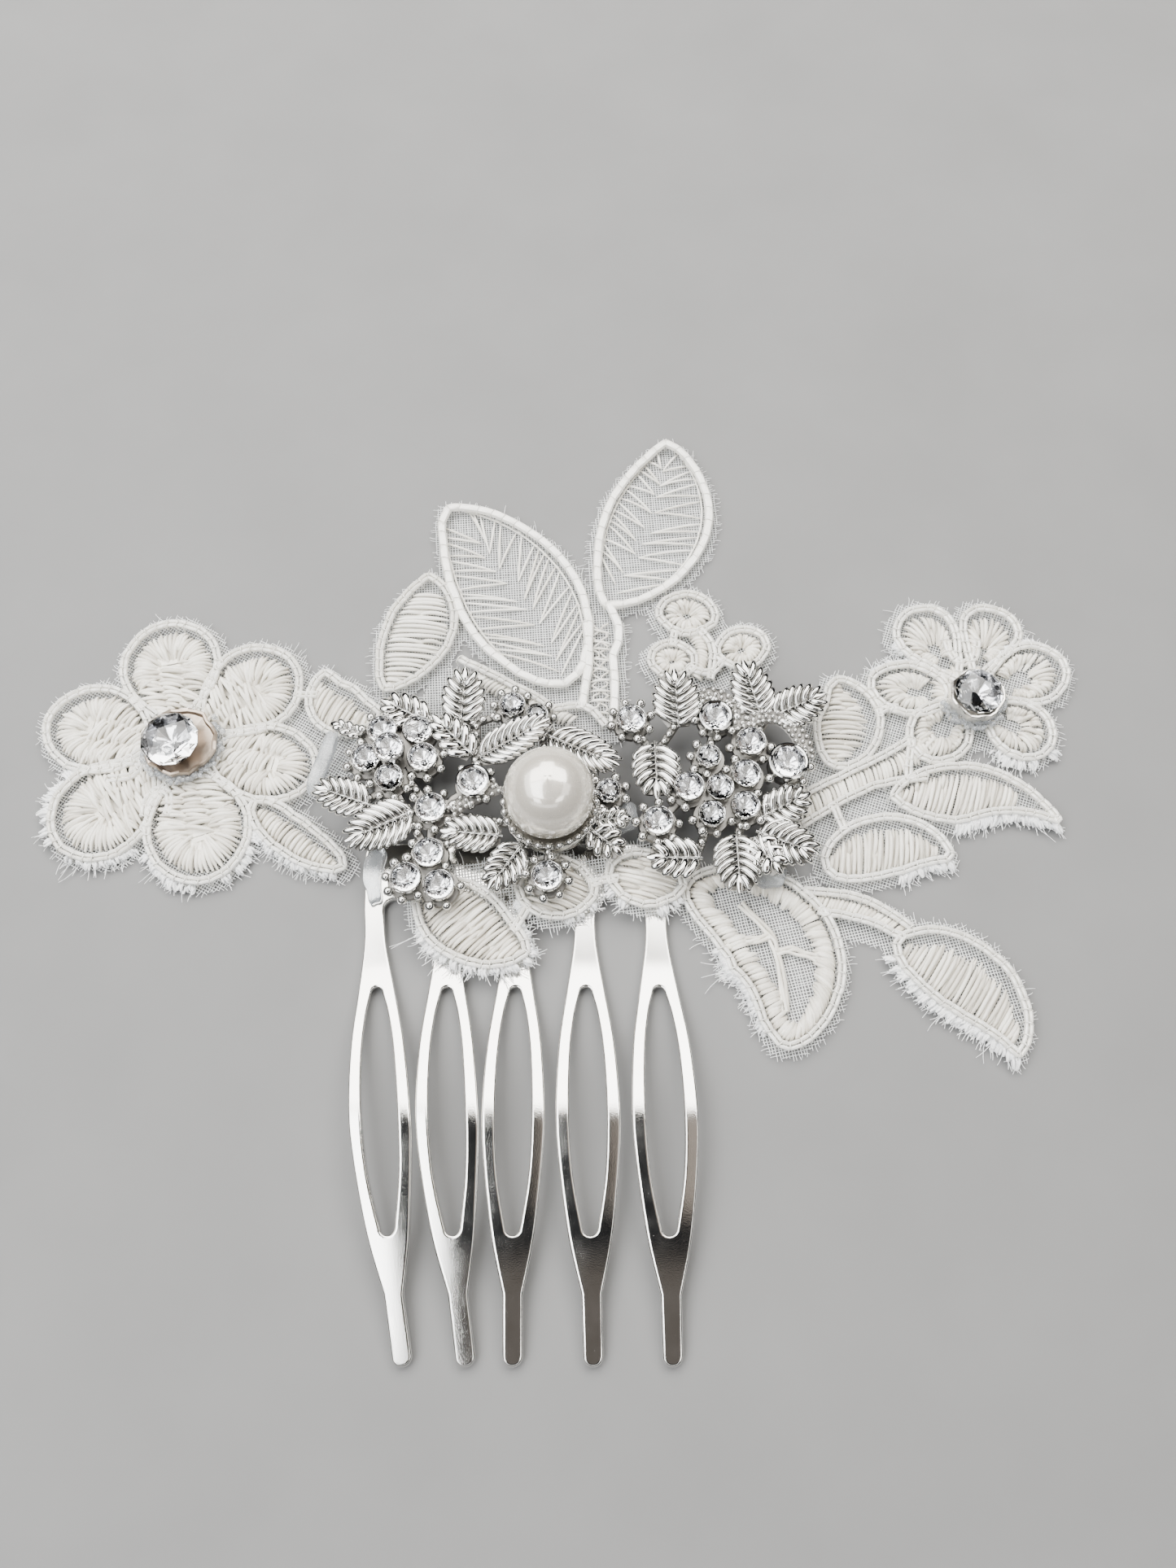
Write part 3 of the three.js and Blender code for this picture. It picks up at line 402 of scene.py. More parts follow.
# Painted shade: a dark copy of the rhodium for the web, the leaf plates and the curl bands, so that the
# gaps between lobes, stones and beads read as shaded hollows
PAINTED_SHADE_METAL = polished_metal("painted_shade_rhodium", (0.17, 0.165, 0.155), 0.36, 0.6)
RAYON = yarn("satin_rayon", (0.64, 0.60, 0.52), (0.97, 0.94, 0.86), 0.36, 0.2, 5.0)
HERRING = yarn("herringbone_rayon", (0.74, 0.71, 0.64), (0.96, 0.94, 0.88), 0.36, 0.2, 4.0)
CORDING = yarn("couched_cord_yarn", (0.86, 0.84, 0.78), (1.0, 0.99, 0.95), 0.24, 0.1, 9.0, 0.12)
TULLE = yarn("tulle_thread", (0.80, 0.81, 0.81), (0.97, 0.98, 0.98), 0.6, 0.3, 2.0)
FLUFF = yarn("cut_thread_ends", (0.88, 0.90, 0.92), (1.0, 1.0, 1.0), 0.5, 0.5, 3.0)
GLASS = clouded("lead_crystal", 0.8, 2, (0.94, 0.96, 1.0), (1.0, 1.0, 1.0), Roughness=0.0,
                Transmission_Weight=1.0, IOR=1.58)
FOIL = mirror_foil("stone_foil", (0.95, 0.95, 0.95), 0.05)
# Painted shade: near-black foil for every second wedge under the stones and crystals, standing in for
# facets that mirror dark surroundings
SHADED_FOIL = mirror_foil("shaded_stone_foil", (0.10, 0.10, 0.105), 0.2)
BEIGE_FOIL = mirror_foil("beige_cup_foil", (0.56, 0.47, 0.39), 0.38)
SILVER_FOIL = mirror_foil("silver_cup_foil", (0.88, 0.85, 0.80), 0.3)
BACK_FOIL = mirror_foil("crystal_backing", (0.95, 0.95, 0.96), 0.12)
NACRE = nacre()
GLUE_CLEAR = clouded("clear_glue", 0.9, 3, (0.80, 0.84, 0.88), (0.94, 0.96, 0.98), (0.08, 0.3),
                     (0.4, 0.0001), Roughness=0.12, Transmission_Weight=0.8, IOR=1.42)
FLOOR = clouded("pale_floor", 0.05, 4, (0.184, 0.185, 0.186), (0.202, 0.203, 0.204), Roughness=0.8)


# ---------------------------------------------------------------- the comb

def arch_height(y):
    """How high the teeth arch off the ground, at a place down their length."""
    if y > ARCH_START:
        return 0.0
    if y > ARCH_CREST:
        share = (ARCH_START - y) / (ARCH_START - ARCH_CREST)
        return ARCH_RISE * (1 - math.cos(math.pi * share)) / 2
    share = (ARCH_CREST - y) / (ARCH_CREST - TIP_Y)
    return ARCH_RISE * math.cos(math.pi * share / 2)


def comb_lift(x, y):
    """How far the bent sheet stands above its flat spine."""
    fade = min(max((ROLL_START - y) / ROLL_FADE, 0.0), 1.0)
    offsets = [x - tooth_centre(tooth, y) for tooth in TEETH]
    across_tooth = min(offsets, key=abs)
    roll = TOOTH_ROLLS[offsets.index(across_tooth)]
    return arch_height(y) + fade * (roll * across_tooth - CROWN * across_tooth ** 2)


def tooth_centre(tooth, y):
    """x of a tooth's bent middle line."""
    neck, middle, tip, _ = tooth
    share = (SPINE_LOW - y) / (SPINE_LOW - TIP_Y)
    control = 2 * middle - (neck + tip) / 2
    return (1 - share) ** 2 * neck + 2 * share * (1 - share) * control + share ** 2 * tip


def spline(points, steps):
    """A smooth curve through points, steps pieces long, as [x, y] rows."""
    points = np.asarray(points, float)
    last = len(points) - 1
    result = []
    for i in range(steps + 1):
        place = last * i / steps
        k = min(int(place), last - 1)
        t = place - k
        p0, p1 = points[max(k - 1, 0)], points[k]
        p2, p3 = points[k + 1], points[min(k + 2, last)]
        v0, v1 = (p2 - p0) / 2, (p3 - p1) / 2
        result.append((2 * p1 - 2 * p2 + v0 + v1) * t ** 3
                      + (-3 * p1 + 3 * p2 - 2 * v0 - v1) * t ** 2 + v0 * t + p1)
    return np.array(result)


def arc(cx, cy, radius, start, end, steps, ends=False):
    shares = range(0 if ends else 1, steps + 1 if ends else steps)
    return [about(cx, cy, radius, start + (end - start) * i / steps) for i in shares]


def flanks(tooth, stations, steps):
    """The left side of a tooth or of its slot, downwards, and the right side, upwards."""
    run = spline(stations, steps)
    left = [(tooth_centre(tooth, y) - w * tooth[3], y) for y, w in run]
    right = [(tooth_centre(tooth, y) + w * tooth[3], y) for y, w in run]
    return left, right[::-1]


def tooth_side(tooth):
    """A tooth's outline, down its left side, round its tip and up again."""
    left, right = flanks(tooth, TOOTH_STATIONS, 42)
    tip = tooth_centre(tooth, TIP_Y)
    low = TIP_Y + TIP_HALF
    end_y, end_w = TOOTH_STATIONS[-1]
    stem = tooth_centre(tooth, end_y)
    half = end_w * tooth[3]
    shares = (0.25, 0.5, 0.75)
    shoulder = [(stem - half + (tip - TIP_HALF - stem + half) * t, end_y + (low - end_y) * t)
                for t in shares] + [(tip - TIP_HALF, low)]
    far = [(2 * (stem + (tip - stem) * t) - x, y) for t, (x, y) in zip((*shares, 1.0), shoulder)]
    return left + shoulder + arc(tip, low, TIP_HALF, math.pi, 2 * math.pi, 9) + far[::-1] + right


def slot_path(tooth):
    """The outline of the slot in a looped tooth."""
    left, right = flanks(tooth, SLOT_STATIONS, 34)
    head, foot = [arc(tooth_centre(tooth, y), y, w * tooth[3], start, start + math.pi, 8)
                  for (y, w), start in ((SLOT_STATIONS[0], 0), (SLOT_STATIONS[-1], math.pi))]
    return left + foot + right + head


def comb_outline():
    """The stamping's outline: down and up each tooth from the left, then back over the spine."""
    left, right, low = SPINE_LEFT + SPINE_CORNER, SPINE_RIGHT - SPINE_CORNER, SPINE_HIGH - SPINE_CORNER
    points = [(SPINE_LEFT, low)]
    flare = TOOTH_STATIONS[0][1] + ROOT_ROUND
    for i, tooth in enumerate(TEETH):
        if i > 0:
            before = tooth_centre(TEETH[i - 1], SPINE_LOW) + flare
            after = tooth_centre(tooth, SPINE_LOW) - flare
            points += arc(before, SPINE_LOW - ROOT_ROUND, ROOT_ROUND, math.pi, math.pi / 2, 6)
            points += [(before, SPINE_LOW), (after, SPINE_LOW)]
            points += arc(after, SPINE_LOW - ROOT_ROUND, ROOT_ROUND, math.pi / 2, 0, 6)
        points += tooth_side(tooth)
    points.append((SPINE_RIGHT, low))
    points += arc(right, low, SPINE_CORNER, 0, math.pi / 2, 6)
    points += [(right, SPINE_HIGH), (left, SPINE_HIGH)]
    points += arc(left, low, SPINE_CORNER, math.pi / 2, math.pi, 6)
    return points


def thinned(points, least=0.05):
    """The loop without points closer together than least."""
    kept = [points[0]]
    for point in points[1:]:
        if math.dist(point, kept[-1]) > least:
            kept.append(point)
    if math.dist(kept[0], kept[-1]) <= least:
        kept.pop()
    return kept


def inset(loop, distance):
    """A closed loop moved towards its left."""
    loop = np.asarray(loop, float)
    before = unit(loop - np.roll(loop, 1, 0))
    after = unit(np.roll(loop, -1, 0) - loop)
    return loop + left_of(unit(before + after)) * distance


def inside(loop, x, y):
    """True for each point within a closed loop."""
    found = np.zeros(np.shape(x), bool)
    loop = np.asarray(loop)
    for (ax, ay), (bx, by) in zip(loop, np.roll(loop, -1, 0)):
        if ay == by:
            continue
        crosses = (ay > y) != (by > y)
        found ^= crosses & (x < (bx - ax) * (y - ay) / (by - ay) + ax)
    return found


def within(rims, xs, ys):
    """True for each point inside the first rim and outside the others."""
    found = inside(rims[0], xs, ys)
    for hole in rims[1:]:
        found &= ~inside(hole, xs, ys)
    return found


def plate_face(shell, rims, z, flip):
    """A flat side of the comb, in small triangles so that it can bend."""
    xs, ys = np.meshgrid(np.arange(SPINE_LEFT - 1, SPINE_RIGHT + 4, PLATE_PITCH),
                         np.arange(TIP_Y - 1, SPINE_HIGH + 1, PLATE_PITCH))
    chosen = within([inset(rim, 0.3) for rim in rims], xs, ys)
    points, edges = [], []
    for rim in rims:
        start = len(points)
        edges += [(start + i, start + (i + 1) % len(rim)) for i in range(len(rim))]
        points += [tuple(p) for p in rim]
    points += list(zip(xs[chosen], ys[chosen]))
    verts, _, faces, *_ = delaunay_2d_cdt([Vector(p) for p in points], edges, [], 0, 1e-5)
    flat = np.array([v[:] for v in verts])
    middles = np.array([flat[list(face)].mean(0) for face in faces])
    keep = within(rims, middles[:, 0], middles[:, 1])
    faces = [tuple(face)[::-1] if flip else tuple(face) for face, k in zip(faces, keep) if k]
    shell.add([(x, y, z + comb_lift(x, y)) for x, y in flat], faces)


def clean(piece, weld=None):
    """Joins vertices closer than weld and turns all faces outwards."""
    bm = bmesh.new()
    bm.from_mesh(piece.data)
    if weld:
        bmesh.ops.remove_doubles(bm, verts=bm.verts, dist=weld)
    bmesh.ops.recalc_face_normals(bm, faces=bm.faces)
    bm.to_mesh(piece.data)
    bm.free()


def comb_plate():
    """The stamped and bent comb, with rounded edges."""
    loops = [thinned(comb_outline())]
    loops += [thinned(slot_path(tooth)[::-1]) for tooth in TEETH]
    shell = Shell()
    # Inset and height of each ring, from the underside round the edge to the face
    edge = [(BEVEL + 0.12, 0.0), (BEVEL, 0.0), (0.05, 0.06), (0.0, BEVEL),
            (0.0, SHEET - BEVEL * 1.2), (0.06, SHEET - 0.07), (BEVEL * 1.15, SHEET),
            (BEVEL + 0.16, SHEET)]
    for loop in loops:
        verts = [(x, y, z + comb_lift(x, y)) for move, z in edge for x, y in inset(loop, move)]
        shell.add(verts, skin(len(edge), len(loop), ends=False))
    for (move, z), flip in ((edge[0], True), (edge[-1], False)):
        plate_face(shell, [inset(loop, move) for loop in loops], z, flip)
    piece = shell.piece("stamped_comb", STEEL, "comb_plate", ["comb_plate"], sharp=60)
    clean(piece, 0.004 * MM)


# ---------------------------------------------------------------- lace shapes

def leaf(base, middle, tip, left, right, peak, blunt):
    """A bent line from base through middle to tip, with a half width on each side of it.
    peak is where it is widest, and blunt below 1 makes blunt ends."""
    base, middle, tip = (np.array(p, float) for p in (base, middle, tip))
    control = 2 * middle - (base + tip) / 2
    return {"base": base, "control": control, "tip": tip, "left": left, "right": right,
            "power": math.log(0.5) / math.log(peak), "blunt": blunt}


def petal(hub, centre, reach, half, start):
    """A leaf that points away from a hub: it begins at start from the hub, is half to each side
    at its centre and goes on for reach beyond that."""
    hub, centre = np.array(hub, float), np.array(centre, float)
    out = unit(centre - hub)
    base, tip = hub + out * start, centre + out * reach
    peak = np.linalg.norm(centre - base) / np.linalg.norm(tip - base)
    return leaf(base, (base + tip) / 2, tip, half, half, peak, 0.5)


def spine_of(shape, t):
    """Point, direction and swell at a share of the way along a leaf."""
    base, control, tip = shape["base"], shape["control"], shape["tip"]
    point = (1 - t) ** 2 * base + 2 * t * (1 - t) * control + t * t * tip
    along = unit((1 - t) * (control - base) + t * (tip - control))
    wave = max(0.0, math.sin(math.pi * t ** shape["power"]))
    return point, along, wave ** shape["blunt"]


def across(shape, t, share, grow=0.0):
    """A point at share of the half width, from -1 on the right edge to 1 on the left."""
    point, along, swell = spine_of(shape, min(max(t, 0.0), 1.0))
    half = (shape["left"] if share > 0 else shape["right"]) + grow
    return point + along * grow * (2 * t - 1) + left_of(along) * half * swell * share


def outline(shape, grow=0.0, steps=30):
    """The loop round a leaf, grown outwards by grow."""
    shares = [(1 - math.cos(math.pi * i / steps)) / 2 for i in range(1, steps)]
    right = [across(shape, t, -1, grow) for t in shares]
    left = [across(shape, t, 1, grow) for t in shares]
    start, end = across(shape, 0, 0, grow), across(shape, 1, 0, grow)
    return np.array([start, *right, end, *left[::-1]])


def length_of(shape):
    """A leaf's length along its middle line."""
    return lengths(np.array([spine_of(shape, i / 12)[0] for i in range(13)]))[-1]


# ---------------------------------------------------------------- thread work

def stitch(shell, start, end, low, rise, rng, width=0.5, height=0.42, rows=6):
    """One satin stitch, which rises out of the net and goes back into it."""
    start, end = np.asarray(start, float), np.asarray(end, float)
    shares = np.linspace(0, 1, rows)
    wave = np.sin(math.pi * shares)
    bow = unit(left_of(end - start)) * rng.uniform(-0.09, 0.09)
    flat = start + (end - start) * shares[:, None] + wave[:, None] * bow
    taper = 0.45 + 0.55 * wave ** 0.35
    path = np.column_stack([flat, low + rise * wave ** 0.55])
    tube(shell, path, width * taper, height * taper, 6, rng.random())


def satin(shell, start, end, level, rng, lift=0.0, rise=1.0, width=0.5, height=0.42):
    """A stitch at the height of satin work: lift raises its ends, and rise scales its arch."""
    stitch(shell, start, end, level + SATIN_LOW + lift, SATIN_RISE * rise, rng, width, height)


def turned(degrees):
    """The matrix that turns rows of points by an angle, whose transpose turns them back."""
    angle = math.radians(degrees)
    return np.array([[math.cos(angle), math.sin(angle)], [-math.sin(angle), math.cos(angle)]])


def bar_stitches(shell, shape, level, rng, heading, short=(0.0, 0.0), span=WHOLE, pitch=0.5,
                 split=0.15):
    """Satin: parallel stitches laid side by side over a leaf, at a heading in degrees. short is
    how far they stop from the cord at each end, span is the stretch of the leaf they fill, and
    split is the share of them that are worked in two overlapping halves."""
    turn = turned(heading)
    loop = outline(shape, -0.5, 60) @ turn.T
    low, high = loop[:, 1].min(), loop[:, 1].max()
    low, high = low + (high - low) * span[0], low + (high - low) * span[1]
    count = int((high - low) / pitch)
    for top, floor in ((False, SATIN_LOW - 0.22), (True, SATIN_LOW)):
        for i in range(count):
            share = (i + (0.0 if top else 0.5) + rng.uniform(0.3, 0.7)) / count
            y = low + (high - low) * min(share, 0.99)
            for start, end in runs([loop], y):
                start += short[0] * rng.uniform(0.6, 1.4)
                end -= short[1] * rng.uniform(0.6, 1.4)
                if end - start < 0.5:
                    continue
                tilt = rng.uniform(-0.12, 0.12)
                left, right = np.array([start, y - tilt]) @ turn, np.array([end, y + tilt]) @ turn
                rise = SATIN_RISE * (0.5 + 0.5 * math.sin(math.pi * min(share, 0.97)))
                rise *= (0.95 if top else 0.5) * rng.uniform(0.9, 1.1)
                cut = rng.uniform(0.35, 0.65)
                if top and end - start > 2.5 and rng.random() < split:
                    between = left + (right - left) * cut
                    overlap = (right - left) * rng.uniform(0.02, 0.1)
                    stitch(shell, left, between + overlap, level + floor, rise, rng)
                    stitch(shell, between - overlap, right, level + floor, rise * 0.93, rng)
                else:
                    stitch(shell, left, right, level + floor, rise, rng)


def fan_stitches(shell, shape, level, rng, focus=0.5, sweep=118, edge=0.8, inner=0.32, pitch=0.52):
    """Stitches that run out to a petal's rim from a point on its middle line."""
    centre, along, _ = spine_of(shape, focus)
    heading = math.atan2(along[1], along[0])
    rim = outline(shape, -edge, 60)
    rim_angle = np.arctan2(rim[:, 1] - centre[1], rim[:, 0] - centre[0]) - heading
    rim_angle = (rim_angle + math.pi) % (2 * math.pi) - math.pi
    order = np.argsort(rim_angle)
    reach = (shape["left"] + shape["right"]) / 2 - edge
    count = max(9, int(math.radians(2 * sweep) * reach / pitch))
    for i in range(count):
        turn = math.radians(-sweep + 2 * sweep * (i + rng.uniform(0.3, 0.7)) / count)
        out = point_at(turn, rim_angle[order], rim[order]) - centre
        near = centre + out * inner * rng.uniform(0.5, 1.5)
        far = centre + out * rng.uniform(0.92, 1.0)
        satin(shell, near, far, level, rng, rise=rng.uniform(0.85, 1.05))
        if i % 2:
            satin(shell, centre + out * inner * 0.7, far, level, rng, -0.2, 0.6, 0.6, 0.3)


def petal_satin(shell, shape, level, rng, slant=0.03):
    """A big petal: a fan over its outer half and short slanting stitches over its inner half."""
    count = int(length_of(shape) * 0.6 / 0.62)
    for i in range(count):
        t = 0.06 + 0.6 * i / count
        satin(shell, across(shape, t, 0.82), across(shape, t, -0.82), level, rng, -0.25, 0.5,
              0.66, 0.24)
    fan_stitches(shell, shape, level, rng, 0.52)
    lanes = ((0.86, 0.16), (0.34, -0.34), (-0.12, -0.86))
    count = int(length_of(shape) * 0.5 / 0.5)
    for i in range(count):
        for lane, (from_share, to_share) in enumerate(lanes):
            t = 0.05 + 0.5 * (i + 0.33 * lane + rng.uniform(0.0, 0.4)) / count
            skew = slant + rng.uniform(-0.02, 0.04)
            left = across(shape, t + skew, from_share + rng.uniform(-0.08, 0.08))
            right = across(shape, t - skew, to_share + rng.uniform(-0.08, 0.08))
            satin(shell, left, right, level, rng, 0.05, rng.uniform(0.85, 1.05))


def rim_satin(shell, shape, level, rng, inner, hole=0.4, sweep=132):
    """A small petal worked from its rim inwards, with a hole near its middle that is as open as
    inner says."""
    fan_stitches(shell, shape, level, rng, hole, sweep, 0.72, inner, 0.42)
    for share in np.linspace(-0.7, 0.7, 6):
        left = across(shape, 0.03, share)
        right = across(shape, hole - 0.2 + rng.uniform(-0.04, 0.04), share * 0.9)
        satin(shell, left, right, level, rng, rise=0.7)


def line_stitches(shell, line, level, rng, half, pitch=0.42, slant=0.3):
    """Satin over an open line."""
    path = spline(line, 40)
    along = lengths(path)
    count = max(2, int(along[-1] / pitch))
    for i in range(count):
        place = along[-1] * (i + rng.uniform(0.3, 0.7)) / count
        middle = point_at(place, along, path)
        ahead, behind = min(place + 0.2, along[-1]), max(place - 0.2, 0)
        way = unit(point_at(ahead, along, path) - point_at(behind, along, path))
        side = left_of(way) * half * rng.uniform(0.85, 1.05)
        lean = way * slant
        satin(shell, middle + side + lean, middle - side - lean, level, rng, 0.0, 0.75, 0.5, 0.34)


def border_stitches(shell, shape, level, rng, band=2.3, pitch=0.44):
    """Satin worked round the rim of an open leaf, with slanting bundles."""
    outer, inner = outline(shape, -0.66, 60), outline(shape, -0.66 - band, 60)
    outer, inner = np.vstack([outer, outer[:1]]), np.vstack([inner, inner[:1]])
    along = lengths(outer)
    count = int(along[-1] / pitch)
    for i in range(count):
        place = along[-1] * (i + rng.uniform(0.25, 0.75)) / count
        start = point_at(place, along, outer)
        end = point_at((place + 0.5) % along[-1], along, inner)
        end = start + (end - start) * rng.uniform(0.8, 1.12)
        satin(shell, start, end, level, rng, 0.0, rng.uniform(0.8, 1.05), 0.56, 0.36)


def herringbone(shell, shape, level, rng, left_lean, right_lean, count, reach=0.87):
    """One long thread a side that zigzags between edge and middle line, over bare net, and a
    thread down each edge of it."""
    for share, lean in ((1, left_lean), (-1, right_lean)):
        step = 0.8 / count
        corners = []
        for i in range(count):
            t = 0.16 + 0.8 * (i + rng.uniform(0.25, 0.75)) / count
            wander = rng.uniform(-0.08, 0.08)
            corners.append(across(shape, min(max(t + lean, 0.05), 0.95), share * 0.05 + wander))
            corners.append(across(shape, min(t + step * 0.3, 0.97), share * reach))
            corners.append(across(shape, min(t + step * 0.62, 0.98), share * reach * 0.99))
        for a, b in zip(corners, corners[1:]):
            stitch(shell, a, b, level + 0.42, 0.25, rng, 0.32, 0.26, 5)
    for share in (1, -1):
        rows = [(*across(shape, 0.06 + 0.88 * i / 24, share * reach), level + 0.5) for i in range(25)]
        tube(shell, rows, 0.28, 0.24, 6, rng.random())


def long_threads(shell, line, level, rng, lanes=(-0.26, 0.02, 0.27)):
    """A few threads laid side by side along a line, lightly twisted."""
    path = spline(line, 18)
    side = left_of(unit(np.gradient(path, axis=0)))
    for lane in lanes:
        phase = np.arange(19) * 0.7 + lane * 9
        twist = lane + 0.1 * np.sin(phase + rng.uniform(0, 2))
        rows = np.column_stack([path + side * twist[:, None], level + 0.75 + 0.12 * np.cos(phase)])
        tube(shell, rows, 0.42, 0.36, 7, rng.random())


def cord(shell, path, level, rng, closed=True, facet=1.3, single=False):
    """Couched cord: straight facets between tie stitches, of one thick or two thin strands."""
    path = np.asarray(path, float)
    ring = np.vstack([path, path[:1]]) if closed else path
    along = lengths(ring)
    count = max(3 if closed else 1, round(along[-1] / facet))
    places = [along[-1] * i / count for i in range(count + 1)]
    for i in range(1, count):
        places[i] += rng.uniform(-0.2, 0.2) * facet
    ties = np.array([point_at(place, along, ring) for place in places])
    ties[1:count] += np.array([[rng.uniform(-0.07, 0.07), rng.uniform(-0.07, 0.07)]
                               for _ in range(count - 1)])
    # Lanes, width and height of the strands, then share, width and lift of a facet's rows
    if single:
        lanes, lane_width, tall = (0.0,), CORD_WIDTH * 1.12, 0.85
        facet_rows = ((0.04, 0.93, -0.03), (0.14, 1.0, 0.0), (0.5, 1.02, 0.02), (0.86, 1.0, 0.0))
    else:
        lanes, lane_width, tall = (-0.26, 0.26), 0.45, 0.85 * 0.75
        facet_rows = ((0.03, 0.8, -0.07), (0.14, 0.98, 0.0), (0.5, 1.06, 0.05), (0.86, 0.98, 0.0))
    for lane in lanes:
        rows, widths, heights = [], [], []
        for a, b in zip(ties[:-1], ties[1:]):
            side = unit(left_of(b - a)) * lane
            for share, width, lift in facet_rows:
                rows.append((*(a + (b - a) * share + side), level + CORD_HEIGHT + lift))
                widths.append(lane_width * width * rng.uniform(0.96, 1.04))
                heights.append(tall * width)
        if not closed:
            rows.append((*(ties[-1] + side), level + CORD_HEIGHT))
            widths.append(lane_width * 0.7)
            heights.append(0.6)
        tube(shell, rows, widths, heights, 8, rng.random(), closed)
    for i in range(count if closed else count + 1):
        before, after = ties[i - 1 if closed or i else 0], ties[min(i + 1, count)]
        way = unit(after - before)
        side = left_of(way)
        loop = [(*(ties[i] - side * 0.55), level + 0.2)]
        for angle in np.linspace(-1.25, 1.25, 7):
            out = side * math.sin(angle) * (CORD_WIDTH / 2 + 0.1)
            lean = way * 0.16 * math.sin(angle)
            loop.append((*(ties[i] + out + lean), level + 0.85 + 0.78 * math.cos(angle)))
        loop.append((*(ties[i] + side * 0.55), level + 0.2))
        tube(shell, loop, 0.13, 0.13, 5, rng.random())


def runs(loops, y):
    """The stretches of a level line that lie in any of the loops."""
    found = []
    for loop in loops:
        ax, ay = loop[:, 0], loop[:, 1]
        bx, by = np.roll(ax, -1), np.roll(ay, -1)
        hit = (ay > y) != (by > y)
        cuts = np.sort(ax[hit] + (bx[hit] - ax[hit]) * (y - ay[hit]) / (by[hit] - ay[hit]))
        found += [list(pair) for pair in cuts.reshape(-1, 2)]
    found.sort()
    joined = []
    for low, high in found:
        if joined and low <= joined[-1][1]:
            joined[-1][1] = max(joined[-1][1], high)
        else:
            joined.append([low, high])
    return joined


def less(stretches, cuts):
    """The stretches with the cuts taken out of them."""
    for cut_low, cut_high in cuts:
        rest = []
        for low, high in stretches:
            if cut_high <= low or cut_low >= high:
                rest.append([low, high])
                continue
            if low < cut_low:
                rest.append([low, cut_low])
            if cut_high < high:
                rest.append([cut_high, high])
        stretches = rest
    return stretches


def net(shell, hairs, loops, cuts, level, turn, rng):
    """Crossed threads over the loops, less the cuts. Returns the cloth's flat area in mm2.
    hairs takes the frayed ends that stick out past the cut edge."""
    areas = []
    for quarter in (0, 1):
        back = turned(turn + 90 * quarter)
        filled = [loop @ back.T for loop in loops]
        taken = [loop @ back.T for loop in cuts]
        low = min(loop[:, 1].min() for loop in filled)
        high = max(loop[:, 1].max() for loop in filled)
        covered = 0.0
        for y in np.arange(low + NET_PITCH / 2, high, NET_PITCH):
            y = y + rng.uniform(-0.03, 0.03)
            for start, end in less(runs(filled, y), runs(taken, y)):
                if end - start < 0.3:
                    continue
                covered += end - start
                rows = max(3, int((end - start) / 1.1) + 2)
                xs = np.linspace(start, end, rows)
                path = np.stack([xs, y + np.array([rng.uniform(-0.035, 0.035) for _ in xs])], 1) @ back
                z = level + NET_LOW + 0.07 * quarter + np.array([rng.uniform(0, 0.05) for _ in xs])
                tube(shell, np.column_stack([path, z]), NET_THREAD, NET_THREAD, 4, rng.random())
                for tip, way in ((path[0], path[0] - path[1]), (path[-1], path[-1] - path[-2])):
                    if rng.random() > 0.55:
                        continue
                    hair(hairs, tip, way, level + NET_LOW + 0.07, rng)
        areas.append(covered * NET_PITCH)
    return sum(areas) / 2


def hair(shell, tip, way, z, rng, longest=0.75):
    """A frayed thread end."""
    way = unit(way)
    reach = rng.uniform(0.2, longest) * (2.2 if rng.random() < 0.05 else 1)
    bend = rng.uniform(-0.3, 0.3) * reach
    rows = [(*(tip + way * reach * s + left_of(way) * bend * s * s), z + rng.uniform(0, 0.14) * s)
            for s in (0.0, 0.4, 0.75, 1.0)]
    taper = [0.08, 0.075, 0.065, 0.05]
    tube(shell, rows, taper, taper, 4, rng.random())


def fringe(shell, shape, share, start, end, level, rng, reach=1.5):
    """Fluffy clipped thread ends that stand out past one side of a leaf, and frayed net."""
    length = length_of(shape) * (end - start)
    clumps = max(3, int(length / 0.5))
    for i in range(clumps):
        t = start + (end - start) * (i + rng.random()) / clumps
        root = across(shape, t, share, 0.3)
        out = unit(across(shape, t, share, 2.0) - across(shape, t, share, 0.0))
        side = left_of(out)
        clump = reach * rng.uniform(0.45, 0.85)
        for _ in range(CLUMP_THREADS):
            foot = root + side * rng.uniform(-0.35, 0.35)
            far = foot + out * clump * rng.uniform(0.7, 1.1) + side * rng.uniform(-0.3, 0.3)
            middle = (foot + far) / 2 + side * rng.uniform(-0.2, 0.2)
            z = level + rng.uniform(0.3, 0.95)
            low = max(level + 0.18, z - rng.uniform(0, 0.3))
            plump = [0.26, 0.36, 0.22]
            tube(shell, [(*foot, z), (*middle, z + 0.2), (*far, low)], plump, plump, 6, rng.random())
        for _ in range(CLUMP_HAIRS):
            hair(shell, root + out * clump * 0.7, out + side * rng.uniform(-0.5, 0.5),
                 level + 0.25, rng, 1.5)


# ---------------------------------------------------------------- lace layout

